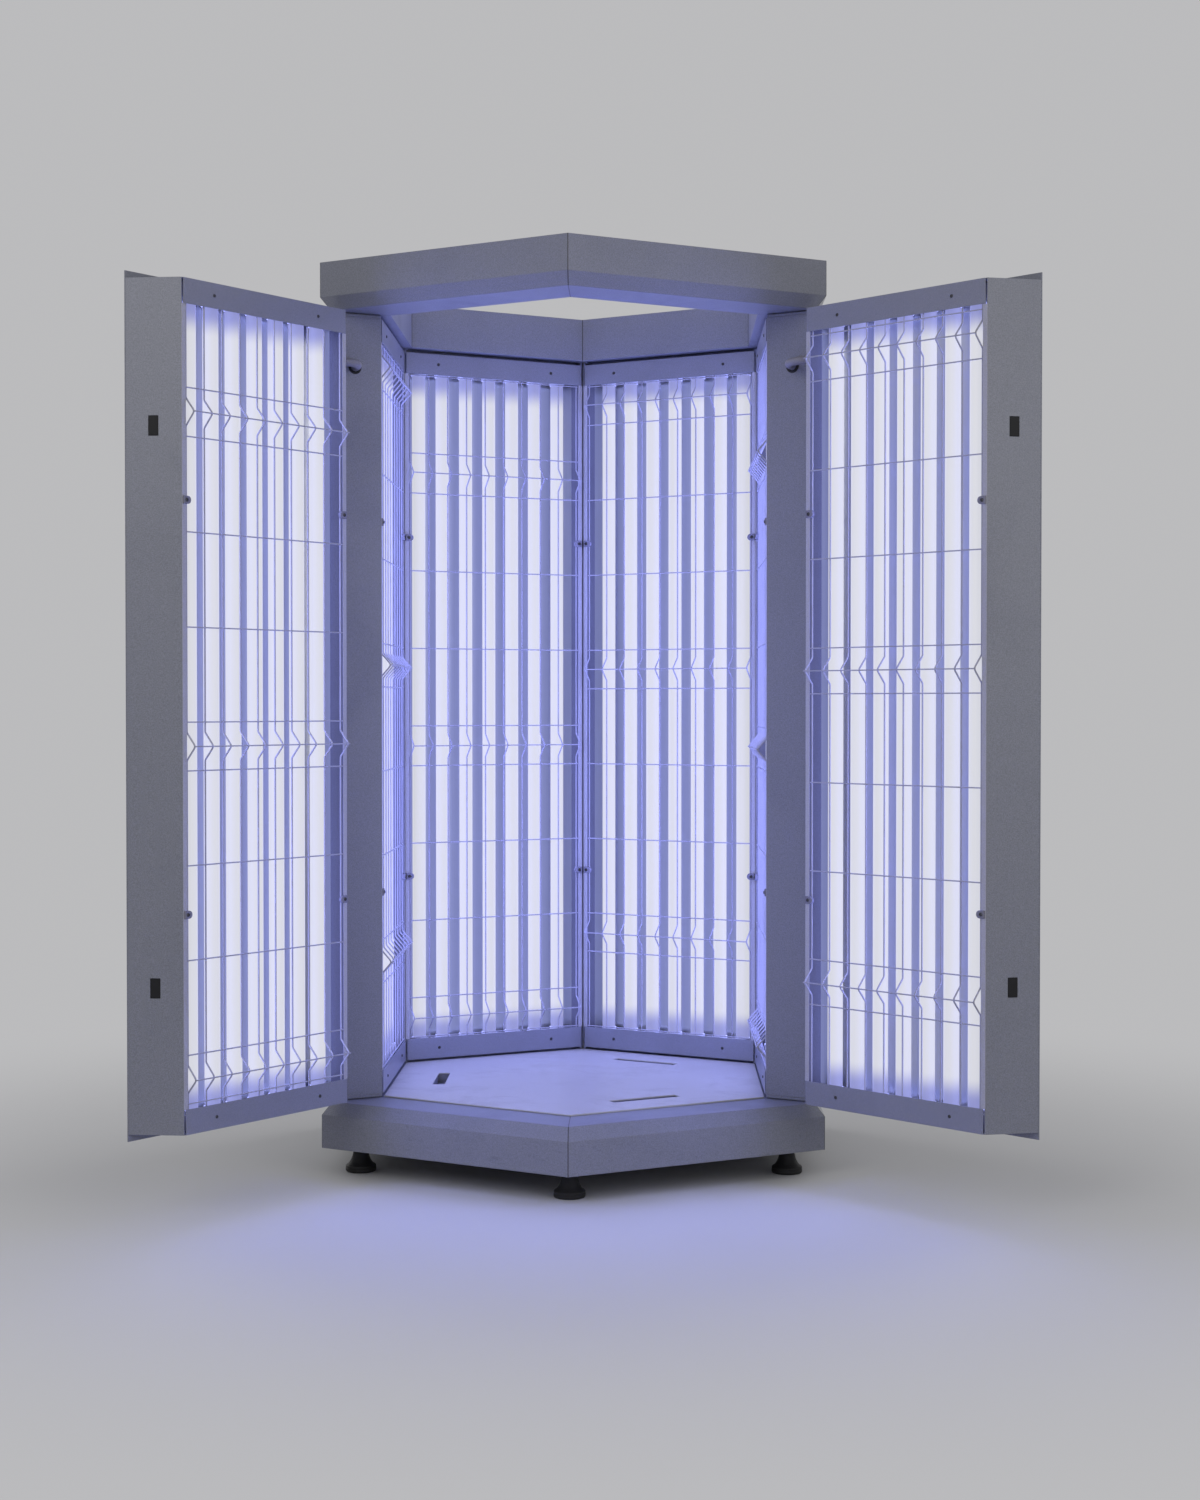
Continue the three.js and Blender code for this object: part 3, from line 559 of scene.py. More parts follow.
def folded_sheet(node, body, finish, edge):
    made = bpy.data.objects.new(node + "_sheet", NODES[node].data.copy())
    made.data.name = made.name
    bpy.context.collection.objects.link(made)
    edit(made)
    bpy.ops.mesh.remove_doubles(threshold=MERGE_NEAR)
    bpy.ops.mesh.dissolve_limited(angle_limit=FLAT_WITHIN)
    stop_edit()
    bevel(made, edge)
    paint(made, finish)
    hand_over(made, body, node)

def hand_over(made, body, node=None):
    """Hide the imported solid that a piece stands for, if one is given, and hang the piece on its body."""
    if node:
        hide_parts(node)
    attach(made, body)

folded_sheet("canopy", "cabinet", seamed_coat, HEAVY_EDGE)
folded_sheet("base_plinth", "cabinet", seamed_coat, HEAVY_EDGE)
folded_sheet("floor_plate", "cabinet", floor_sheet, PLATE_EDGE)
for name, panel in PANELS.items():
    for shell in ["frame", "skin"] if "door" in name else ["casing"]:
        folded_sheet(f"{name}_{shell}", panel["body"], powder_coat, PANEL_EDGE)
    for end in ("top", "bottom"):
        folded_sheet(f"{name}_{end}_strip", panel["body"], strip_coat, STRIP_EDGE)
NODES["ballast_tray"].material_slots[0].material = zinc
print("sheet metal on", len(PANELS), "panels")

# %% [markdown]
# Many pieces start as a line that is drawn point by point with extrudes. Pulled straight up, the line
# becomes a bent sheet, and a closed outline becomes a block.

# %% Lines and pulled sheets
def start_line(name, first):
    """A new object in edit mode that holds one vertex."""
    bpy.ops.object.select_all(action="DESELECT")
    bpy.ops.mesh.primitive_plane_add(size=0.001, location=(0, 0, 0))
    made = bpy.context.object
    made.name = name
    made.data.name = name
    edit(made)
    bpy.ops.mesh.merge(type="CENTER")
    bpy.ops.transform.translate(value=first)
    return made

def draw_line(points):
    for before, after in zip(points, points[1:]):
        step = tuple(Vector(after) - Vector(before))
        bpy.ops.mesh.extrude_vertices_move(TRANSFORM_OT_translate={"value": step})

def face_outward(made):
    edit(made)
    bpy.ops.mesh.normals_make_consistent(inside=False)
    stop_edit()

def pulled(name, line, height, thickness=0.0):
    """A line pulled straight up: a sheet where it has a thickness, else a filled block."""
    made = start_line(name, line[0])
    draw_line(line)
    bpy.ops.mesh.select_all(action="SELECT")
    if not thickness:
        bpy.ops.mesh.edge_face_add()
    bpy.ops.mesh.extrude_region_move(TRANSFORM_OT_translate={"value": (0, 0, height)})
    stop_edit()
    if thickness:
        apply_modifier(made, "SOLIDIFY", thickness=thickness, offset=0)
    face_outward(made)
    return made

def mirrored(right):
    """A line that is the same on both sides, from its right half."""
    return [(-x, y, z) for x, y, z in reversed(right)] + right

# %% [markdown]
# Behind the tubes lies a reflector: one bright sheet folded to a shallow trough, with a narrow lip along
# each side. Its section is drawn as a line, pulled up to the panel's height and given its thickness. The
# front part of its sides is the casing's coat, darkened as painted shade, which the bright sheet leaves
# bare.

# %% Reflectors
REFLECTOR_SHEET = 0.0012
REFLECTOR_FRONT, REFLECTOR_BACK = depths("left_wall_reflector")
REFLECTOR_END_GAP = 0.0005
TROUGH_FRONT = REFLECTOR_FRONT * TAN30 - 0.0082
TROUGH_BACK = 0.2615
LIP_END = REFLECTOR_FRONT * TAN30 - 0.0053
PAINTED_SHADE_SHARE = 0.45
FINE_EDGE = 0.0003

front = REFLECTOR_FRONT + REFLECTOR_SHEET / 2
back = REFLECTOR_BACK - REFLECTOR_SHEET / 2
shade_x, shade_y = Vector((TROUGH_FRONT, front)).lerp((TROUGH_BACK, back), PAINTED_SHADE_SHARE)
for name, panel in PANELS.items():
    half = half_height(f"{name}_reflector") - REFLECTOR_END_GAP
    right = [(TROUGH_BACK, back, -half), (shade_x, shade_y, -half), (TROUGH_FRONT, front, -half),
             (LIP_END, front, -half)]
    trough = pulled(f"{name}_reflector_trough", mirrored(right), 2 * half, REFLECTOR_SHEET)
    bevel(trough, FINE_EDGE)
    paint(trough, bright_sheet)
    # The front part of each side takes the dark coat that paints the shade there.
    trough.data.materials.append(primer)
    for face in trough.data.polygons:
        face.material_index = int(abs(face.normal.x) > 0.5 and face.center.y < shade_y)
    trough.data.transform(panel["place"])
    hand_over(trough, panel["body"], f"{name}_reflector")
print("reflector lip to", round(LIP_END, 4), "m each side")

# %% [markdown]
# The walls stand between the base and the canopy on packers, flat blocks that are set back from the face
# and show as a dark gap. Towards the room they reach forward only in a narrow horn at each mitred end. A
# thinner core next to the base and the canopy leaves a fine shadow line there.

# %% Packers
PACKER_FRONT = FACE + 0.030
PACKER_BACK = SKIN - 0.0026
HORN_FRONT = FACE + 0.0035
HORN_WIDTH = 0.006
PACKER_GAP = 0.0022
CORE_GAP = 0.0080
SHADOW_LINE = 0.0030
PACKER_EDGE = 0.0004
PLAY = 0.0004

def join(name, pieces):
    only(*pieces)
    if len(pieces) > 1:
        bpy.ops.object.join()
    made = bpy.context.object
    made.name = name
    made.data.name = name
    return made

def packer(gap, low, high):
    """A flat block between two heights, set in from the mitre lines by a gap."""
    near, far = (depth * TAN30 - gap / COS30 for depth in (HORN_FRONT, PACKER_BACK))
    right = [(near - HORN_WIDTH, PACKER_FRONT, low), (near - HORN_WIDTH, HORN_FRONT, low),
             (near, HORN_FRONT, low), (far, PACKER_BACK, low)]
    made = pulled("packer", mirrored(right), high - low)
    bevel(made, PACKER_EDGE)
    return made

canopy_low, base_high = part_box("canopy")[0][2] - MIDDLE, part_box("base_plinth")[1][2] - MIDDLE
layers = [(PACKER_GAP, WALL_HALF + PLAY, canopy_low - SHADOW_LINE),
          (CORE_GAP, canopy_low - SHADOW_LINE, canopy_low - PLAY),
          (CORE_GAP, base_high + PLAY, base_high + SHADOW_LINE),
          (PACKER_GAP, base_high + SHADOW_LINE, -WALL_HALF - PLAY)]
for name in WALLS:
    pieces = [packer(*layer) for layer in layers]
    packers = paint(join(f"{name}_packers", pieces), powder_coat)
    packers.data.transform(PANELS[name]["place"])
    hand_over(packers, "cabinet")
print("packers:", 2 * len(WALLS))

# %% [markdown]
# Between the cover strips, the long edges of a casing are folded in to a narrow flange beside the edge wires
# of the guard. It stiffens the sheet, has the paler coat, and the guard's clips are screwed to it.

# %% Edge flanges
FLANGE_FRONT = FACE + 0.00255
FLANGE_THICK = 0.0012
FLANGE_INNER = FACE * TAN30 - 0.0142
FLANGE_OUTER = FACE * TAN30 - 0.0008
STRIP_HALF = half_height("left_wall_top_strip")

for name, panel in PANELS.items():
    top = panel["half"] - 2 * STRIP_HALF
    pieces = []
    for end in (-1, 1):
        outline = [(end * FLANGE_INNER, FLANGE_FRONT, -top), (end * FLANGE_OUTER, FLANGE_FRONT, -top)]
        flange = pulled("flange", outline, 2 * top, FLANGE_THICK)
        bevel(flange, FINE_EDGE)
        pieces.append(flange)
    flanges = paint(join(f"{name}_edge_flanges", pieces), pale_coat)
    flanges.data.transform(panel["place"])
    hand_over(flanges, panel["body"])
print("flanges", round(1000 * (FLANGE_OUTER - FLANGE_INNER), 1), "mm wide")

# %% [markdown]
# The floor plate has three long slots. Under each lies a shallow channel, so that a look into the slot ends
# on painted sheet. A channel is a block whose top face is inset and pushed down.

# %% Floor channels
SLOT_LENGTH = 0.200
SLOT_WIDTH = 0.032
SLOT_FROM_EDGE = 0.126
SLOT_FACINGS = (180, 60, -60)
CHANNEL_MARGIN = 0.003
CHANNEL_DEPTH = 0.024
CHANNEL_SHEET = 0.0012

def block(name, low, high, edge=0.0):
    """A block between two opposite corners, given in any order, bevelled if an edge is given."""
    low, high = Vector(low), Vector(high)
    size = [abs(part) for part in high - low]
    bpy.ops.object.select_all(action="DESELECT")
    bpy.ops.mesh.primitive_cube_add(size=1, location=(0, 0, 0))
    made = bpy.context.object
    made.name = name
    made.data.name = name
    made.data.transform(Matrix.Translation((low + high) / 2) @ Matrix.Diagonal((*size, 1)))
    if edge:
        bevel(made, edge)
    return made

floor_low, floor_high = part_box("floor_plate")
slot_place = (floor_high[0] - floor_low[0]) / 2 - SLOT_FROM_EDGE
corner = Vector((SLOT_WIDTH / 2 + CHANNEL_MARGIN, SLOT_LENGTH / 2 + CHANNEL_MARGIN, CHANNEL_DEPTH / 2))
channels = []
for facing in SLOT_FACINGS:
    channel = block("channel", -corner, corner)
    edit(channel)
    bpy.ops.mesh.select_all(action="DESELECT")
    stop_edit()
    for face in channel.data.polygons:
        face.select = face.normal.z > 0.5
    bpy.ops.object.mode_set(mode="EDIT")
    bpy.ops.mesh.inset(thickness=CHANNEL_SHEET, depth=0.0)
    bpy.ops.transform.translate(value=(0, 0, CHANNEL_SHEET - CHANNEL_DEPTH))
    stop_edit()
    turn = Matrix.Rotation(math.radians(facing), 4, "Z")
    lowered = Matrix.Translation((slot_place, 0, floor_low[2] - PLAY - CHANNEL_DEPTH / 2))
    channel.data.transform(Matrix.Translation((AXIS.x, AXIS.y, 0)) @ turn @ lowered)
    channels.append(channel)
hand_over(paint(join("floor_channels", channels), powder_coat), "cabinet")
print("channels:", len(SLOT_FACINGS))

# %% [markdown]
# Round pieces are turned: half of the outline is drawn and spun about the upright axis. A row repeats a
# piece at even steps with an array, and a copy carries its new place in its own mesh.

# %% Turned pieces, rows and copies
SAME_POINT = 1e-6

def turned(name, outline, steps=32, smooth=35):
    """Spin an outline of (radius, height) points about Z."""
    points = [(radius, 0, height) for radius, height in outline]
    made = start_line(name, points[0])
    draw_line(points)
    bpy.ops.mesh.select_all(action="SELECT")
    bpy.ops.mesh.spin(steps=steps, angle=2 * math.pi, center=(0, 0, 0), axis=(0, 0, 1))
    bpy.ops.mesh.select_all(action="SELECT")
    bpy.ops.mesh.remove_doubles(threshold=SAME_POINT)
    bpy.ops.mesh.normals_make_consistent(inside=False)
    stop_edit()
    bpy.ops.object.shade_smooth_by_angle(angle=math.radians(smooth))
    return made

def row(made, count, step):
    apply_modifier(made, "ARRAY", count=count, use_relative_offset=False, use_constant_offset=True,
                   constant_offset_displace=step)
    return made

def copy_to(made, name, matrix):
    twin = made.copy()
    twin.data = made.data.copy()
    twin.name = name
    twin.data.name = name
    bpy.context.collection.objects.link(twin)
    twin.data.transform(matrix)
    return twin

def throw_away(*patterns):
    for pattern in patterns:
        bpy.data.objects.remove(pattern, do_unlink=True)

print("meshes so far:", len(bpy.data.meshes))

# %% [markdown]
# A tube is turned from one outline: the glass with its rounded shoulders, and a metal cap at each end. The
# faces beyond the shoulder take the cap's metal. Seven tubes stand in a row on each panel.

# %% Tubes
LAMPS = 7
LAMP_PITCH = 0.075
CAP_LENGTH = 0.024
SHOULDER = 0.004
CAP_SEAM = 0.0016
near_face, far_face = depths("left_wall_lamp_bank")
LAMP_DEPTH = (near_face + far_face) / 2
LAMP_RADIUS = (far_face - near_face) / 2
CAP_RADIUS = LAMP_RADIUS - 0.0006
FIRST_LAMP = -LAMP_PITCH * (LAMPS - 1) / 2

cap_at = LAMP_HALF - CAP_LENGTH
upper = [(LAMP_RADIUS, cap_at - 0.002), (LAMP_RADIUS - 0.0012, cap_at + 0.0015),
         (CAP_RADIUS - 0.001, cap_at + 0.002), (CAP_RADIUS, cap_at + SHOULDER),
         (CAP_RADIUS, LAMP_HALF - 0.002), (CAP_RADIUS - 0.002, LAMP_HALF), (0, LAMP_HALF)]
tube = turned("tube_pattern", [(radius, -z) for radius, z in reversed(upper)] + upper)
paint(tube, phosphor)
tube.data.materials.append(cap_metal)
for face in tube.data.polygons:
    if abs(face.center.z) > cap_at + CAP_SEAM:
        face.material_index = 1
row(tube, LAMPS, (LAMP_PITCH, 0, 0))
tube.data.transform(Matrix.Translation((FIRST_LAMP, LAMP_DEPTH, 0)))
for name, panel in PANELS.items():
    lamps = copy_to(tube, f"{name}_lamps", panel["place"])
    hand_over(lamps, panel["body"], f"{name}_lamp_bank")
throw_away(tube)
print("lamps:", LAMPS * len(PANELS))

# %% [markdown]
# The tubes stand between two plastic holder rails that the cover strips hide. A rail is a block, and a
# short cup on it grips each tube.

# %% Lamp holders
RAIL_GRIP = 0.020
RAIL_INNER = LAMP_HALF - RAIL_GRIP
RAIL_END_GAP = 0.0025
RAIL_EDGE = 0.002
RAIL_HALF_WIDTH = -FIRST_LAMP + LAMP_RADIUS + 0.010
RAIL_HALF_DEPTH = 0.015
CUP_BORE = LAMP_RADIUS + 0.0008
CUP_RADIUS = 0.0225
CUP_LIP = 0.008
CUP_ROOT = 0.012

cup_outline = [(CUP_BORE, CUP_ROOT), (CUP_BORE, -CUP_LIP), (CUP_RADIUS - 0.001, -CUP_LIP),
               (CUP_RADIUS, -CUP_LIP + 0.001), (CUP_RADIUS, CUP_ROOT), (CUP_BORE, CUP_ROOT)]
for name, panel in PANELS.items():
    pieces = []
    for end in (-1, 1):
        corner = (-RAIL_HALF_WIDTH, LAMP_DEPTH - RAIL_HALF_DEPTH, end * RAIL_INNER)
        opposite = (RAIL_HALF_WIDTH, LAMP_DEPTH + RAIL_HALF_DEPTH, end * (panel["half"] - RAIL_END_GAP))
        pieces.append(block("rail", corner, opposite, RAIL_EDGE))
        cup = turned("cup", [(radius, end * z) for radius, z in cup_outline], 24)
        row(cup, LAMPS, (LAMP_PITCH, 0, 0))
        cup.data.transform(Matrix.Translation((FIRST_LAMP, LAMP_DEPTH, end * RAIL_INNER)))
        pieces.append(cup)
    rails = paint(join(f"{name}_lamp_holders", pieces), holder_plastic)
    rails.data.transform(panel["place"])
    hand_over(rails, panel["body"], f"{name}_lamp_bank")
print("lamp cups:", 2 * LAMPS * len(PANELS))

# %% [markdown]
# A guard is welded from round coated wire. A wire is a drawn line that becomes a curve with a round section
# and then a mesh again. Where the wire bends, the corner of the line is first turned into an arc.

# %% Wires
WIRE_SMOOTH = math.radians(50)

def wire(name, points, radius):
    start_line(name, points[0])
    draw_line(points)
    stop_edit()
    bpy.ops.object.convert(target="CURVE")
    curve = bpy.context.object.data
    curve.bevel_depth = radius
    curve.bevel_resolution = 1
    curve.use_fill_caps = True
    bpy.ops.object.convert(target="MESH")
    bpy.ops.object.shade_smooth_by_angle(angle=WIRE_SMOOTH)
    return bpy.context.object

def rounded(points, radius, steps=4):
    """The same line with each inner corner turned into an arc."""
    line = [Vector(points[0])]
    for before, corner, after in zip(points, points[1:], points[2:]):
        corner = Vector(corner)
        back = (Vector(before) - corner).normalized()
        on = (Vector(after) - corner).normalized()
        reach = radius * math.tan((math.pi - back.angle(on)) / 2)
        start, end = corner + back * reach, corner + on * reach
        for i in range(steps + 1):
            t = i / steps
            line.append((1 - t) ** 2 * start + 2 * t * (1 - t) * corner + t * t * end)
    return line + [Vector(points[-1])]

print("a rounded corner has", len(rounded([(0, 0, 0), (0, 0, 1), (0, 1, 1)], 0.1)) - 2, "points")

# %% [markdown]
# Ten upright wires have three sharp bends that stand in towards the room and keep a person off the lamps.
# The heights of the bends and rungs follow one rule: a rung close below and above each bend, and two more
# at even steps between one bend and the next.

# %% Guard uprights
WIRES = 10
WIRE_RADIUS = 0.0021
WIRE_DEPTH = FACE + 0.007
GUARD_HALF_WIDTH = FACE * TAN30 - 0.0187
BENDS = 3
BEND_DEPTH = 0.028
BEND_HALF = 0.033
BEND_RADIUS = 0.009
UPRIGHT_PAST = 0.003
FIRST_BEND = -DOOR_HALF + 0.129
TOP_RUNG = DOOR_HALF - 0.032
TAIL = -DOOR_HALF + 0.034
RUNG_NEAR = 0.057
RUNG_STEP = (TOP_RUNG - FIRST_BEND - (2 * BENDS - 1) * RUNG_NEAR) / (3 * BENDS - 2)
BEND_STEP = 2 * RUNG_NEAR + 3 * RUNG_STEP

bend_heights = [FIRST_BEND + i * BEND_STEP for i in range(BENDS)]
line = [(0, 0, TAIL)]
for z in bend_heights:
    line += [(0, 0, z - BEND_HALF), (0, -BEND_DEPTH, z), (0, 0, z + BEND_HALF)]
line.append((0, 0, TOP_RUNG + UPRIGHT_PAST))
uprights = wire("uprights", rounded(line, BEND_RADIUS), WIRE_RADIUS)
row(uprights, WIRES, (2 * GUARD_HALF_WIDTH / (WIRES - 1), 0, 0))
uprights.data.transform(Matrix.Translation((-GUARD_HALF_WIDTH, WIRE_DEPTH, 0)))
print("bends at", [round(MIDDLE + z, 3) for z in bend_heights])

# %% [markdown]
# The rungs are thinner and lie in front of the uprights, where they are welded. Neighbouring guards hang
# the other way up, so that their bends don't meet at the corners. In the walls, a guard sits a little nearer
# to its lower end than in the doors.

# %% Guard rungs
RUNG_RADIUS = 0.0018
WELD = 0.0006
BEND_SEAT = 0.0025
RUNG_END = GUARD_HALF_WIDTH + 0.003
WALL_DROP = 0.020

rung_places = [(TOP_RUNG, 0)]
for i, z in enumerate(bend_heights):
    rung_places += [(z - RUNG_NEAR, 0), (z, -BEND_DEPTH + BEND_SEAT), (z + RUNG_NEAR, 0)]
    if i < BENDS - 1:
        rung_places += [(z + RUNG_NEAR + k * RUNG_STEP, 0) for k in (1, 2)]
pieces = [uprights]
for z, forward in rung_places:
    rung = wire("rung", [(-RUNG_END, 0, 0), (0, 0, 0), (RUNG_END, 0, 0)], RUNG_RADIUS)
    out = WIRE_DEPTH + forward - WIRE_RADIUS - RUNG_RADIUS + WELD
    rung.data.transform(Matrix.Translation((0, out, z)))
    pieces.append(rung)
guard = paint(join("guard_pattern", pieces), wire_coat)
half_turn = Matrix.Rotation(math.pi, 4, "Y")
for name, panel in PANELS.items():
    drop = Matrix.Translation((0, 0, -WALL_DROP if name in WALLS else 0))
    hung = half_turn @ drop if panel["upside_down"] else drop
    mesh = copy_to(guard, f"{name}_wire_guard", panel["place"] @ hung)
    hand_over(mesh, panel["body"], f"{name}_guard")
throw_away(guard)
print("guards:", len(PANELS), "with", len(rung_places), "rungs each")

# %% [markdown]
# One dark screw serves everywhere. It is turned with a round head and a recess, and laid on its side, so
# that it points into the panel. Two of them hold each cover strip.

# %% Strip screws
SCREW_RADIUS = 0.0042
SCREW_RISE = 0.0022
SCREW_SEAT = 0.002
HEAD_SINK = 0.0002
SHANK_SHARE = 0.45
STRIP_SCREW = 0.182

profile = [(0, 0.45), (0.42, 0.45), (0.46, 0.96), (0.62, 1.0), (0.88, 0.72), (1.0, 0.25)]
head = [(SCREW_RADIUS * across, SCREW_RISE * up) for across, up in profile]
shank = SCREW_RADIUS * SHANK_SHARE
head += [(SCREW_RADIUS, -HEAD_SINK), (shank, -HEAD_SINK), (shank, -SCREW_SEAT), (0, -SCREW_SEAT)]
screw = paint(turned("screw_pattern", head, 18), dark_screw)
screw.data.transform(Matrix.Rotation(math.pi / 2, 4, "X"))

def fix(pattern, name, panel, spots):
    """Copies of one small piece at several spots of a panel, joined."""
    copies = [copy_to(pattern, "copy", panel["place"] @ spot) for spot in spots]
    hand_over(join(name, copies), panel["body"])

for name, panel in PANELS.items():
    level = panel["half"] - STRIP_HALF
    spots = [Matrix.Translation((x, FACE, z)) for x in (-STRIP_SCREW, STRIP_SCREW) for z in (-level, level)]
    fix(screw, f"{name}_strip_screws", panel, spots)
print("strip screws:", 4 * len(PANELS))

# %% [markdown]
# Each guard is held at its two edges by four small clips, two high and two low. A clip is a plastic saddle
# that reaches from the flange over the edge wire, with a screw through it. Its outline, rounded at the inner
# end, is drawn flat, filled, pulled up and softened, and then turned to face the room.

# %% Guard clips
CLIP_LONG = 0.0245
CLIP_DEEP = 0.0085
CLIP_TALL = 0.019
CLIP_PROUD = 0.0022
CLIP_SCREW_IN = 0.0098
CLIP_SCREW_SCALE = 1.1
CLIP_LEVEL = 0.484
CLIP_END = FACE * TAN30 - 0.0025
CLIP_ROUND_STEPS = 8
CLIP_EDGE = 0.0016

radius = CLIP_TALL / 2
outline = [(0, -radius, 0)]
for i in range(CLIP_ROUND_STEPS + 1):
    angle = -math.pi / 2 - math.pi * i / CLIP_ROUND_STEPS
    outline.append((radius - CLIP_LONG + radius * math.cos(angle), radius * math.sin(angle), 0))
outline.append((0, radius, 0))
saddle = pulled("saddle", outline, CLIP_DEEP)
bevel(saddle, CLIP_EDGE, 3)
paint(saddle, clip_plastic)
upright = Matrix.Rotation(math.pi / 2, 4, "X")
saddle.data.transform(Matrix.Translation((0, CLIP_DEEP - CLIP_PROUD, 0)) @ upright)
head_at = Matrix.Translation((-CLIP_SCREW_IN, -CLIP_PROUD, 0)) @ Matrix.Scale(CLIP_SCREW_SCALE, 4)
clip = join("clip_pattern", [saddle, copy_to(screw, "clip_screw", head_at)])
clip_spots = []
for level in (-CLIP_LEVEL, CLIP_LEVEL):
    spot = Matrix.Translation((CLIP_END, FACE, level))
    clip_spots += [spot, Matrix.Diagonal((-1, 1, -1, 1)) @ spot]
for name, panel in PANELS.items():
    fix(clip, f"{name}_guard_clips", panel, clip_spots)
throw_away(clip)
print("clips:", len(clip_spots) * len(PANELS))

# %% [markdown]
# Outside, a column of the same screws holds each skin along its ends. An end that carries a hinge leaf has
# the leaf's screws instead. The heads are pressed flatter here, and they face away from the room.

# %% Skin screws
SKIN_SCREWS = 7
SKIN_SCREW_IN = 0.024
SKIN_SCREW_HALF = DOOR_HALF - 0.060
OUTWARD = Matrix.Rotation(math.pi, 4, "Z") @ Matrix.Diagonal((1, 0.7, 1, 1))

for name, panel in PANELS.items():
    spots = []
    for end in (-1, 1):
        if HINGED_ENDS.get(name) == end:
            continue
        for i in range(SKIN_SCREWS):
            z = SKIN_SCREW_HALF * (2 * i / (SKIN_SCREWS - 1) - 1)
            x = end * (SKIN * TAN30 - SKIN_SCREW_IN)
            spots.append(Matrix.Translation((x, SKIN, z)) @ OUTWARD)
    fix(screw, f"{name}_skin_screws", panel, spots)
print("skin screws per column:", SKIN_SCREWS)

# %% [markdown]
# The doors hang on long continuous hinges. Each leaf is a narrow plate with a turned-up lip along its edge
# and a row of short knuckles, and the two rows interlock on one pin. A tongue ties each knuckle to its
# leaf. The screws through the leaves are almost flush.

# %% Hinge leaf
KNUCKLES = 24
KNUCKLE_RADIUS = 0.0078
PIN_RADIUS = 0.0040
LEAF_WIDTH = 0.038
LEAF_THICK = 0.0026
LEAF_HALF = half_height("left_hinge_fixed_leaf")
LEAF_NEAR = SKIN + 0.0004
LEAF_EDGE = LEAF_NEAR * TAN30 - 0.0018
LEAF_SCREWS = 9
LEAF_SCREW_SHARE = 0.62
LIP_RISE, LIP_LIFT = 0.0098, 0.0004
KNUCKLE_GAP = 0.0003
KNUCKLE_EDGE = 0.0006
TONGUE_IN, TONGUE_OUT = 0.004, 0.0034
TONGUE_RISE, TONGUE_LIFT = 0.0062, 0.0003
TONGUE_EDGE = 0.0005
HINGE_RADIUS = (Vector(JOINTS["left_door_hinge"]["pos_m"]).xy - AXIS.xy).length
KNUCKLE_STEP = LEAF_HALF / KNUCKLES
FLUSH = Matrix.Rotation(math.pi, 4, "Z") @ Matrix.Diagonal((1, 0.35, 1, 1))

bore = PIN_RADIUS + KNUCKLE_GAP
low, high = KNUCKLE_GAP, KNUCKLE_STEP - KNUCKLE_GAP
shoulder = KNUCKLE_RADIUS - KNUCKLE_EDGE
ring = [(bore, low), (shoulder, low), (KNUCKLE_RADIUS, low + KNUCKLE_EDGE),
        (KNUCKLE_RADIUS, high - KNUCKLE_EDGE), (shoulder, high), (bore, high), (bore, low)]

def hinge_leaf(name, end, first):
    """A leaf at one end of a panel, its knuckles in every other place."""
    plate = block("plate", (end * (LEAF_EDGE - LEAF_WIDTH), LEAF_NEAR, -LEAF_HALF),
                  (end * LEAF_EDGE, LEAF_NEAR + LEAF_THICK, LEAF_HALF), PANEL_EDGE)
    lip = block("lip", (end * (LEAF_EDGE - LEAF_THICK), LEAF_NEAR + LIP_LIFT, -LEAF_HALF),
                (end * LEAF_EDGE, LEAF_NEAR + LIP_RISE, LEAF_HALF), PANEL_EDGE)
    start = -LEAF_HALF + first * KNUCKLE_STEP
    knuckle = turned("knuckle", ring, 20)
    knuckle.data.transform(Matrix.Translation((end * HINGE_RADIUS * SIN30, HINGE_RADIUS * COS30, start)))
    tongue = block("tongue", (end * (LEAF_EDGE - TONGUE_IN), LEAF_NEAR + TONGUE_LIFT, start + PLAY),
                   (end * (LEAF_EDGE + TONGUE_OUT), LEAF_NEAR + TONGUE_RISE, start + KNUCKLE_STEP - PLAY),
                   TONGUE_EDGE)
    roll = row(join("roll", [knuckle, tongue]), KNUCKLES, (0, 0, 2 * KNUCKLE_STEP))
    pieces = [paint(piece, hinge_steel) for piece in (plate, lip, roll)]
    x = end * (LEAF_EDGE - LEAF_WIDTH * LEAF_SCREW_SHARE)
    for i in range(LEAF_SCREWS):
        z = LEAF_HALF * (2 * (i + 0.5) / LEAF_SCREWS - 1)
        spot = Matrix.Translation((x, LEAF_NEAR + LEAF_THICK, z)) @ FLUSH
        pieces.append(copy_to(screw, "leaf_screw", spot))
    return join(name, pieces)

print("knuckles", round(1000 * KNUCKLE_STEP, 1), "mm long")

# %% [markdown]
# Each hinge needs one leaf on the wall, one on the door, and a pin with a small head at both ends. The pin
# stays with the cabinet when the door swings.

# %% Hinges
PIN_HALF = half_height("left_hinge_pin")
PIN_HEAD = 0.0074
PIN_HEAD_EDGE = 0.0008
PIN_HEAD_AT = LEAF_HALF + 0.0006
lower = [(0, -PIN_HALF), (PIN_HEAD - PIN_HEAD_EDGE, -PIN_HALF), (PIN_HEAD, -PIN_HALF + PIN_HEAD_EDGE),
         (PIN_HEAD, -PIN_HEAD_AT), (PIN_RADIUS, -PIN_HEAD_AT)]
pin_outline = lower + [(radius, -z) for radius, z in reversed(lower)]

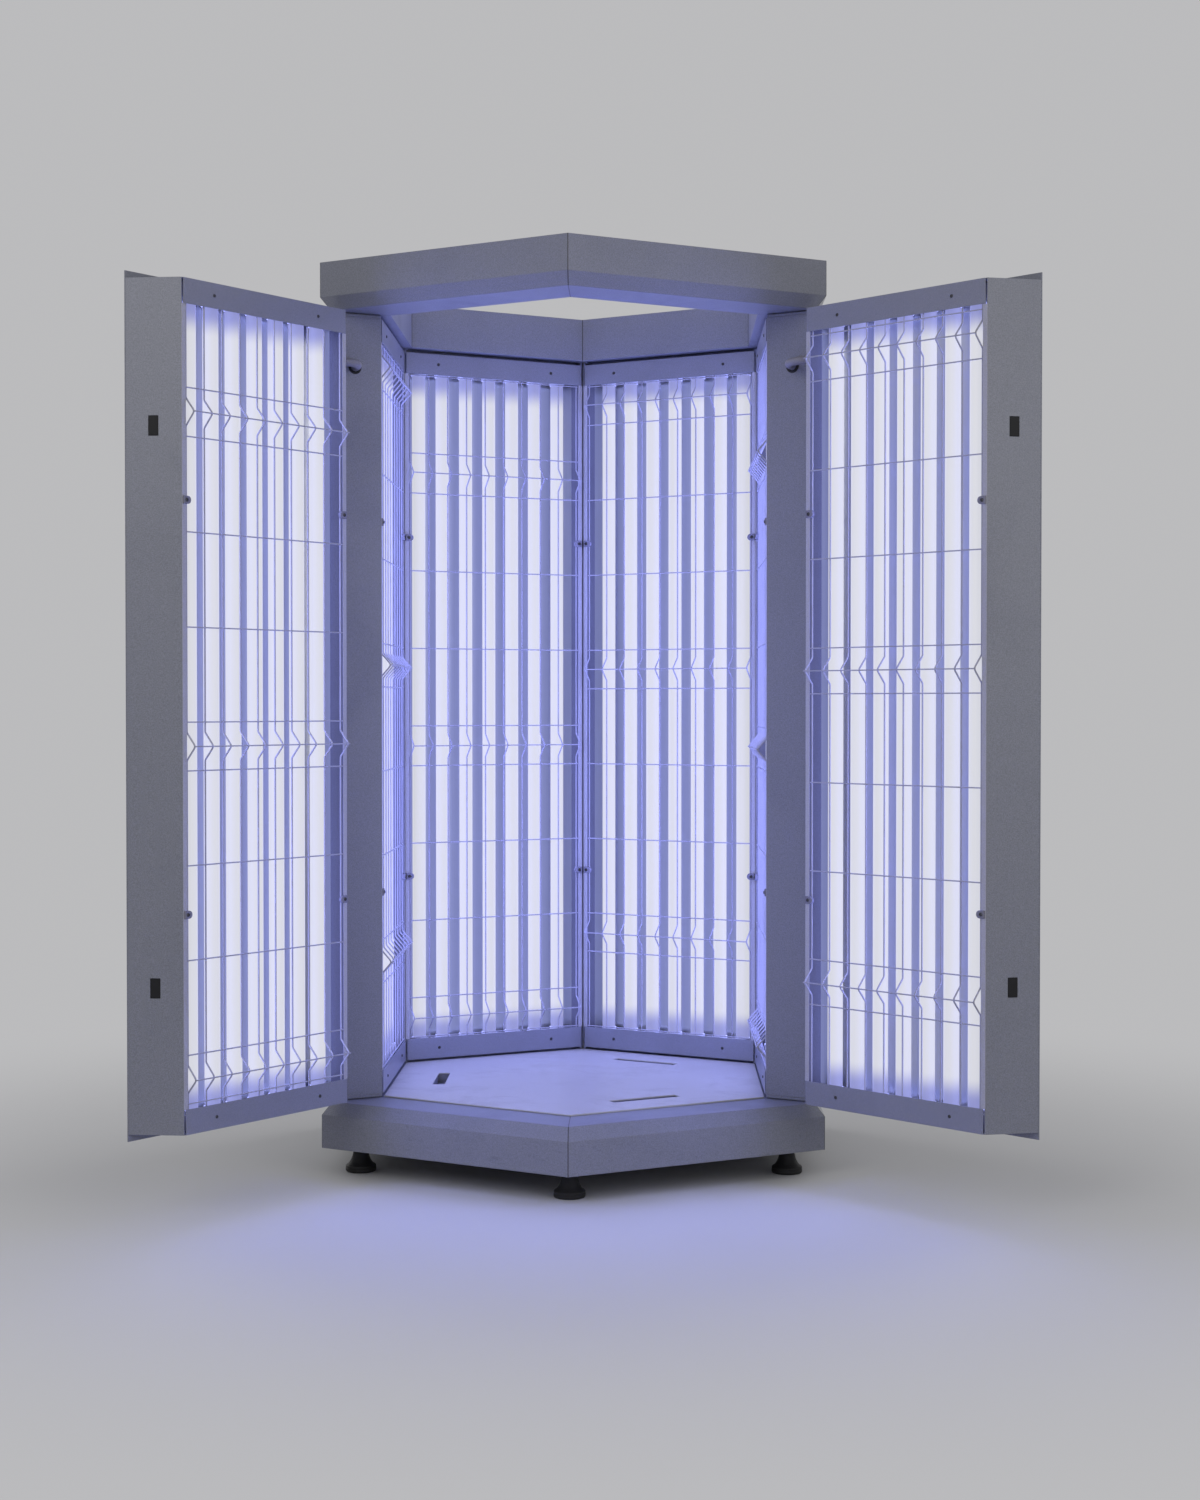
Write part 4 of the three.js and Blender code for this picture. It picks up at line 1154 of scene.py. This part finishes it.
for hand in ("left", "right"):
    wall, door = f"{hand}_wall", f"{hand}_door"
    fixed = hinge_leaf(f"{hand}_hinge_wall_leaf", HINGED_ENDS[wall], 0)
    fixed.data.transform(PANELS[wall]["place"])
    hand_over(fixed, "cabinet", f"{hand}_hinge_fixed_leaf")
    moving = hinge_leaf(f"{hand}_hinge_door_leaf", HINGED_ENDS[door], 1)
    moving.data.transform(PANELS[door]["place"])
    hand_over(moving, door, f"{hand}_door_moving_leaf")
    pin = paint(turned(f"{hand}_hinge_long_pin", pin_outline, 20), hinge_steel)
    line = JOINTS[f"{hand}_door_hinge"]["pos_m"]
    pin.data.transform(Matrix.Translation((line[0], line[1], MIDDLE)))
    hand_over(pin, "cabinet", f"{hand}_hinge_pin")
throw_away(screw)
print("hinge knuckles:", 4 * KNUCKLES)

# %% [markdown]
# A rubber grommet lines the hole in each post and door where the wires for the door lamps pass. The holes
# lie on the mitred sides of the panels, on the plane through the hinge line and the booth's axis.

# %% Grommets
LEAD_Z = middle_of("left_power_lead").z
LEAD_PLACE = (SKIN - 0.0545) / COS30
GROMMET_BORE = 0.0114
GROMMET_RADIUS = 0.0185
SIDE_GAPS = {"wall": 0.0015, "door": 0.0020}
grommet_outline = [(GROMMET_BORE, 0.0008), (0.0122, 0.0012), (GROMMET_RADIUS - 0.0012, 0.0012),
                   (GROMMET_RADIUS, 0.0002), (0.0124, 0.0001), (0.0124, -0.0035),
                   (GROMMET_BORE, -0.0035), (GROMMET_BORE, 0.0008)]

def lead_hole(name):
    """The middle of a panel's lead hole, in the booth's own space, and the way it faces."""
    end, place = HINGED_ENDS[name], PANELS[name]["place"]
    along = Vector((end * SIN30, COS30, 0))
    out = Vector((end * COS30, -SIN30, 0))
    spot = LEAD_PLACE * along - SIDE_GAPS[name.split("_")[1]] * out + Vector((0, 0, LEAD_Z - MIDDLE))
    return place @ spot, (place.to_3x3() @ out).normalized()

for name in HINGED_ENDS:
    spot, out = lead_hole(name)
    grommet = paint(turned(f"{name}_grommet", grommet_outline, 24), black_rubber)
    turn = out.to_track_quat("Z", "Y").to_matrix().to_4x4()
    grommet.data.transform(Matrix.Translation(spot) @ turn)
    hand_over(grommet, PANELS[name]["body"])
print("grommets at height", round(LEAD_Z, 3))

# %% [markdown]
# A short ribbed conduit carries the wires from the post into the door, near the top. It lies on an arc
# about the hinge line, so it slides along itself when the door turns. A straight ribbed tube is turned
# first, and its rings are then laid along that arc.

# %% Conduits
LEAD_RADIUS = 0.0108
RIB = 0.0040
RIB_DEPTH = 0.0012
CREST_FROM, CREST_TO = 0.3 * RIB, 0.65 * RIB
LEAD_TUCK = math.radians(18)
LEAD_ARC = HINGE_RADIUS - LEAD_PLACE

def ribbed_outline(length):
    outline = [(0, 0)]
    ribs = round(length / RIB)
    for i in range(ribs):
        z = length * i / ribs
        outline += [(LEAD_RADIUS - RIB_DEPTH, z), (LEAD_RADIUS, z + CREST_FROM), (LEAD_RADIUS, z + CREST_TO)]
    return outline + [(LEAD_RADIUS - RIB_DEPTH, length), (0, length)]

for hand in ("left", "right"):
    hinge = f"{hand}_door_hinge"
    line, opening = Vector(JOINTS[hinge]["pos_m"]), opening_of(hinge)
    tuck = math.copysign(LEAD_TUCK, opening)
    inward = AXIS.xy - line.xy
    start = math.atan2(inward.y, inward.x) - tuck
    sweep = opening + 2 * tuck
    length = abs(sweep) * LEAD_ARC
    conduit = paint(turned(f"{hand}_conduit", ribbed_outline(length), 18, 60), conduit_skin)
    for vertex in conduit.data.vertices:
        angle = start + sweep * vertex.co.z / length
        reach = LEAD_ARC + vertex.co.x
        vertex.co = (line.x + reach * math.cos(angle), line.y + reach * math.sin(angle),
                     LEAD_Z + vertex.co.y)
    face_outward(conduit)
    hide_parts(f"{hand}_power_lead")
    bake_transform(conduit)
    print(hand, "conduit", round(length, 4), "m")

# %% [markdown]
# Six levelling feet carry the booth. Each is a moulded rubber bell with a rounded rim and a shallow groove.
# The bell's outline is drawn in shares of its rim's radius low down, where it bulges, and in metres above.

# %% Rubber feet
FOOT_NAMES = [name for name in NODES if name.startswith("foot_")]
foot_low, foot_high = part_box("foot_front")
FOOT_RADIUS = (foot_high[0] - foot_low[0]) / 2
BELL_HEIGHT = 0.062
rim = [(0, 0), (0.86, 0), (0.95, 0.0012), (0.995, 0.0045), (0.995, 0.0105), (0.965, 0.0112),
       (0.965, 0.0126), (0.99, 0.0133), (0.98, 0.0168), (0.93, 0.0190)]
neck = [(0.0330, 0.0212), (0.0288, 0.0262), (0.0252, 0.0325), (0.0224, 0.0400), (0.0204, 0.0480),
        (0.0190, 0.0560), (0.0182, 0.0600), (0.0168, 0.0617), (0.0140, BELL_HEIGHT), (0, BELL_HEIGHT)]

def feet_from(pattern, ending):
    for name in FOOT_NAMES:
        centre = middle_of(name)
        made = copy_to(pattern, name + ending, Matrix.Translation((*centre.xy, 0)))
        hand_over(made, name, name)
    throw_away(pattern)

bell = turned("bell_pattern", [(share * FOOT_RADIUS, z) for share, z in rim] + neck, 40, 28)
feet_from(paint(bell, black_rubber), "_bell")
print("feet:", len(FOOT_NAMES))

# %% [markdown]
# A threaded steel stem goes from each bell up into the base. The thread is a row of fine rings here: at
# this size it looks the same as a spiral, and it is spun in one go.

# %% Foot stems
STEM_RADIUS = 0.0079
STEM_CORE = STEM_RADIUS - 0.0009
STEM_ROOT = BELL_HEIGHT - 0.004
THREAD = 0.002
stem_top = foot_high[2] - 0.0005
outline = [(0, STEM_ROOT), (STEM_CORE, STEM_ROOT)]
for i in range(int((stem_top - BELL_HEIGHT) / THREAD)):
    z = BELL_HEIGHT + i * THREAD
    outline += [(STEM_CORE, z), (STEM_RADIUS, z + THREAD / 2)]
outline += [(STEM_CORE - 0.0003, stem_top), (0, stem_top)]
feet_from(paint(turned("stem_pattern", outline, 20, 20), zinc), "_stem")
print("stem top at", round(stem_top, 4))

# %% [markdown]
# The doors close on magnet catches: a pair of black blocks in the free edge of each door. They are copies
# of their solids with softened edges, like the sheet pieces.

# %% Magnets
MAGNET_EDGE = 0.0012
for hand in ("left", "right"):
    for level in ("upper", "lower"):
        folded_sheet(f"{hand}_door_{level}_magnet", f"{hand}_door", magnet_case, MAGNET_EDGE)
print("magnets: 4")

# %% [markdown]
# The mains cable enters through the canopy's top at the back, where a plain bush lines the hole.

# %% Mains bush
BUSH_BORE = 0.0125
BUSH_HOLE = 0.0197
BUSH_BELOW = -0.012
BUSH_FROM_REAR = 0.110
bush_outline = [(BUSH_BORE, BUSH_BELOW), (BUSH_HOLE, BUSH_BELOW), (BUSH_HOLE, 0.0003), (0.0265, 0.0003),
                (0.0272, 0.0012), (0.0258, 0.0034), (0.0175, 0.0040), (0.0140, 0.0032),
                (BUSH_BORE, 0.0010), (BUSH_BORE, BUSH_BELOW)]
rear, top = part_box("canopy")[1][1:]
bush = paint(turned("mains_bush", bush_outline), black_rubber)
bush.data.transform(Matrix.Translation((AXIS.x, rear - BUSH_FROM_REAR, top)))
hand_over(bush, "cabinet")
print("mains bush", round(rear - BUSH_FROM_REAR - AXIS.y, 4), "m behind the axis")
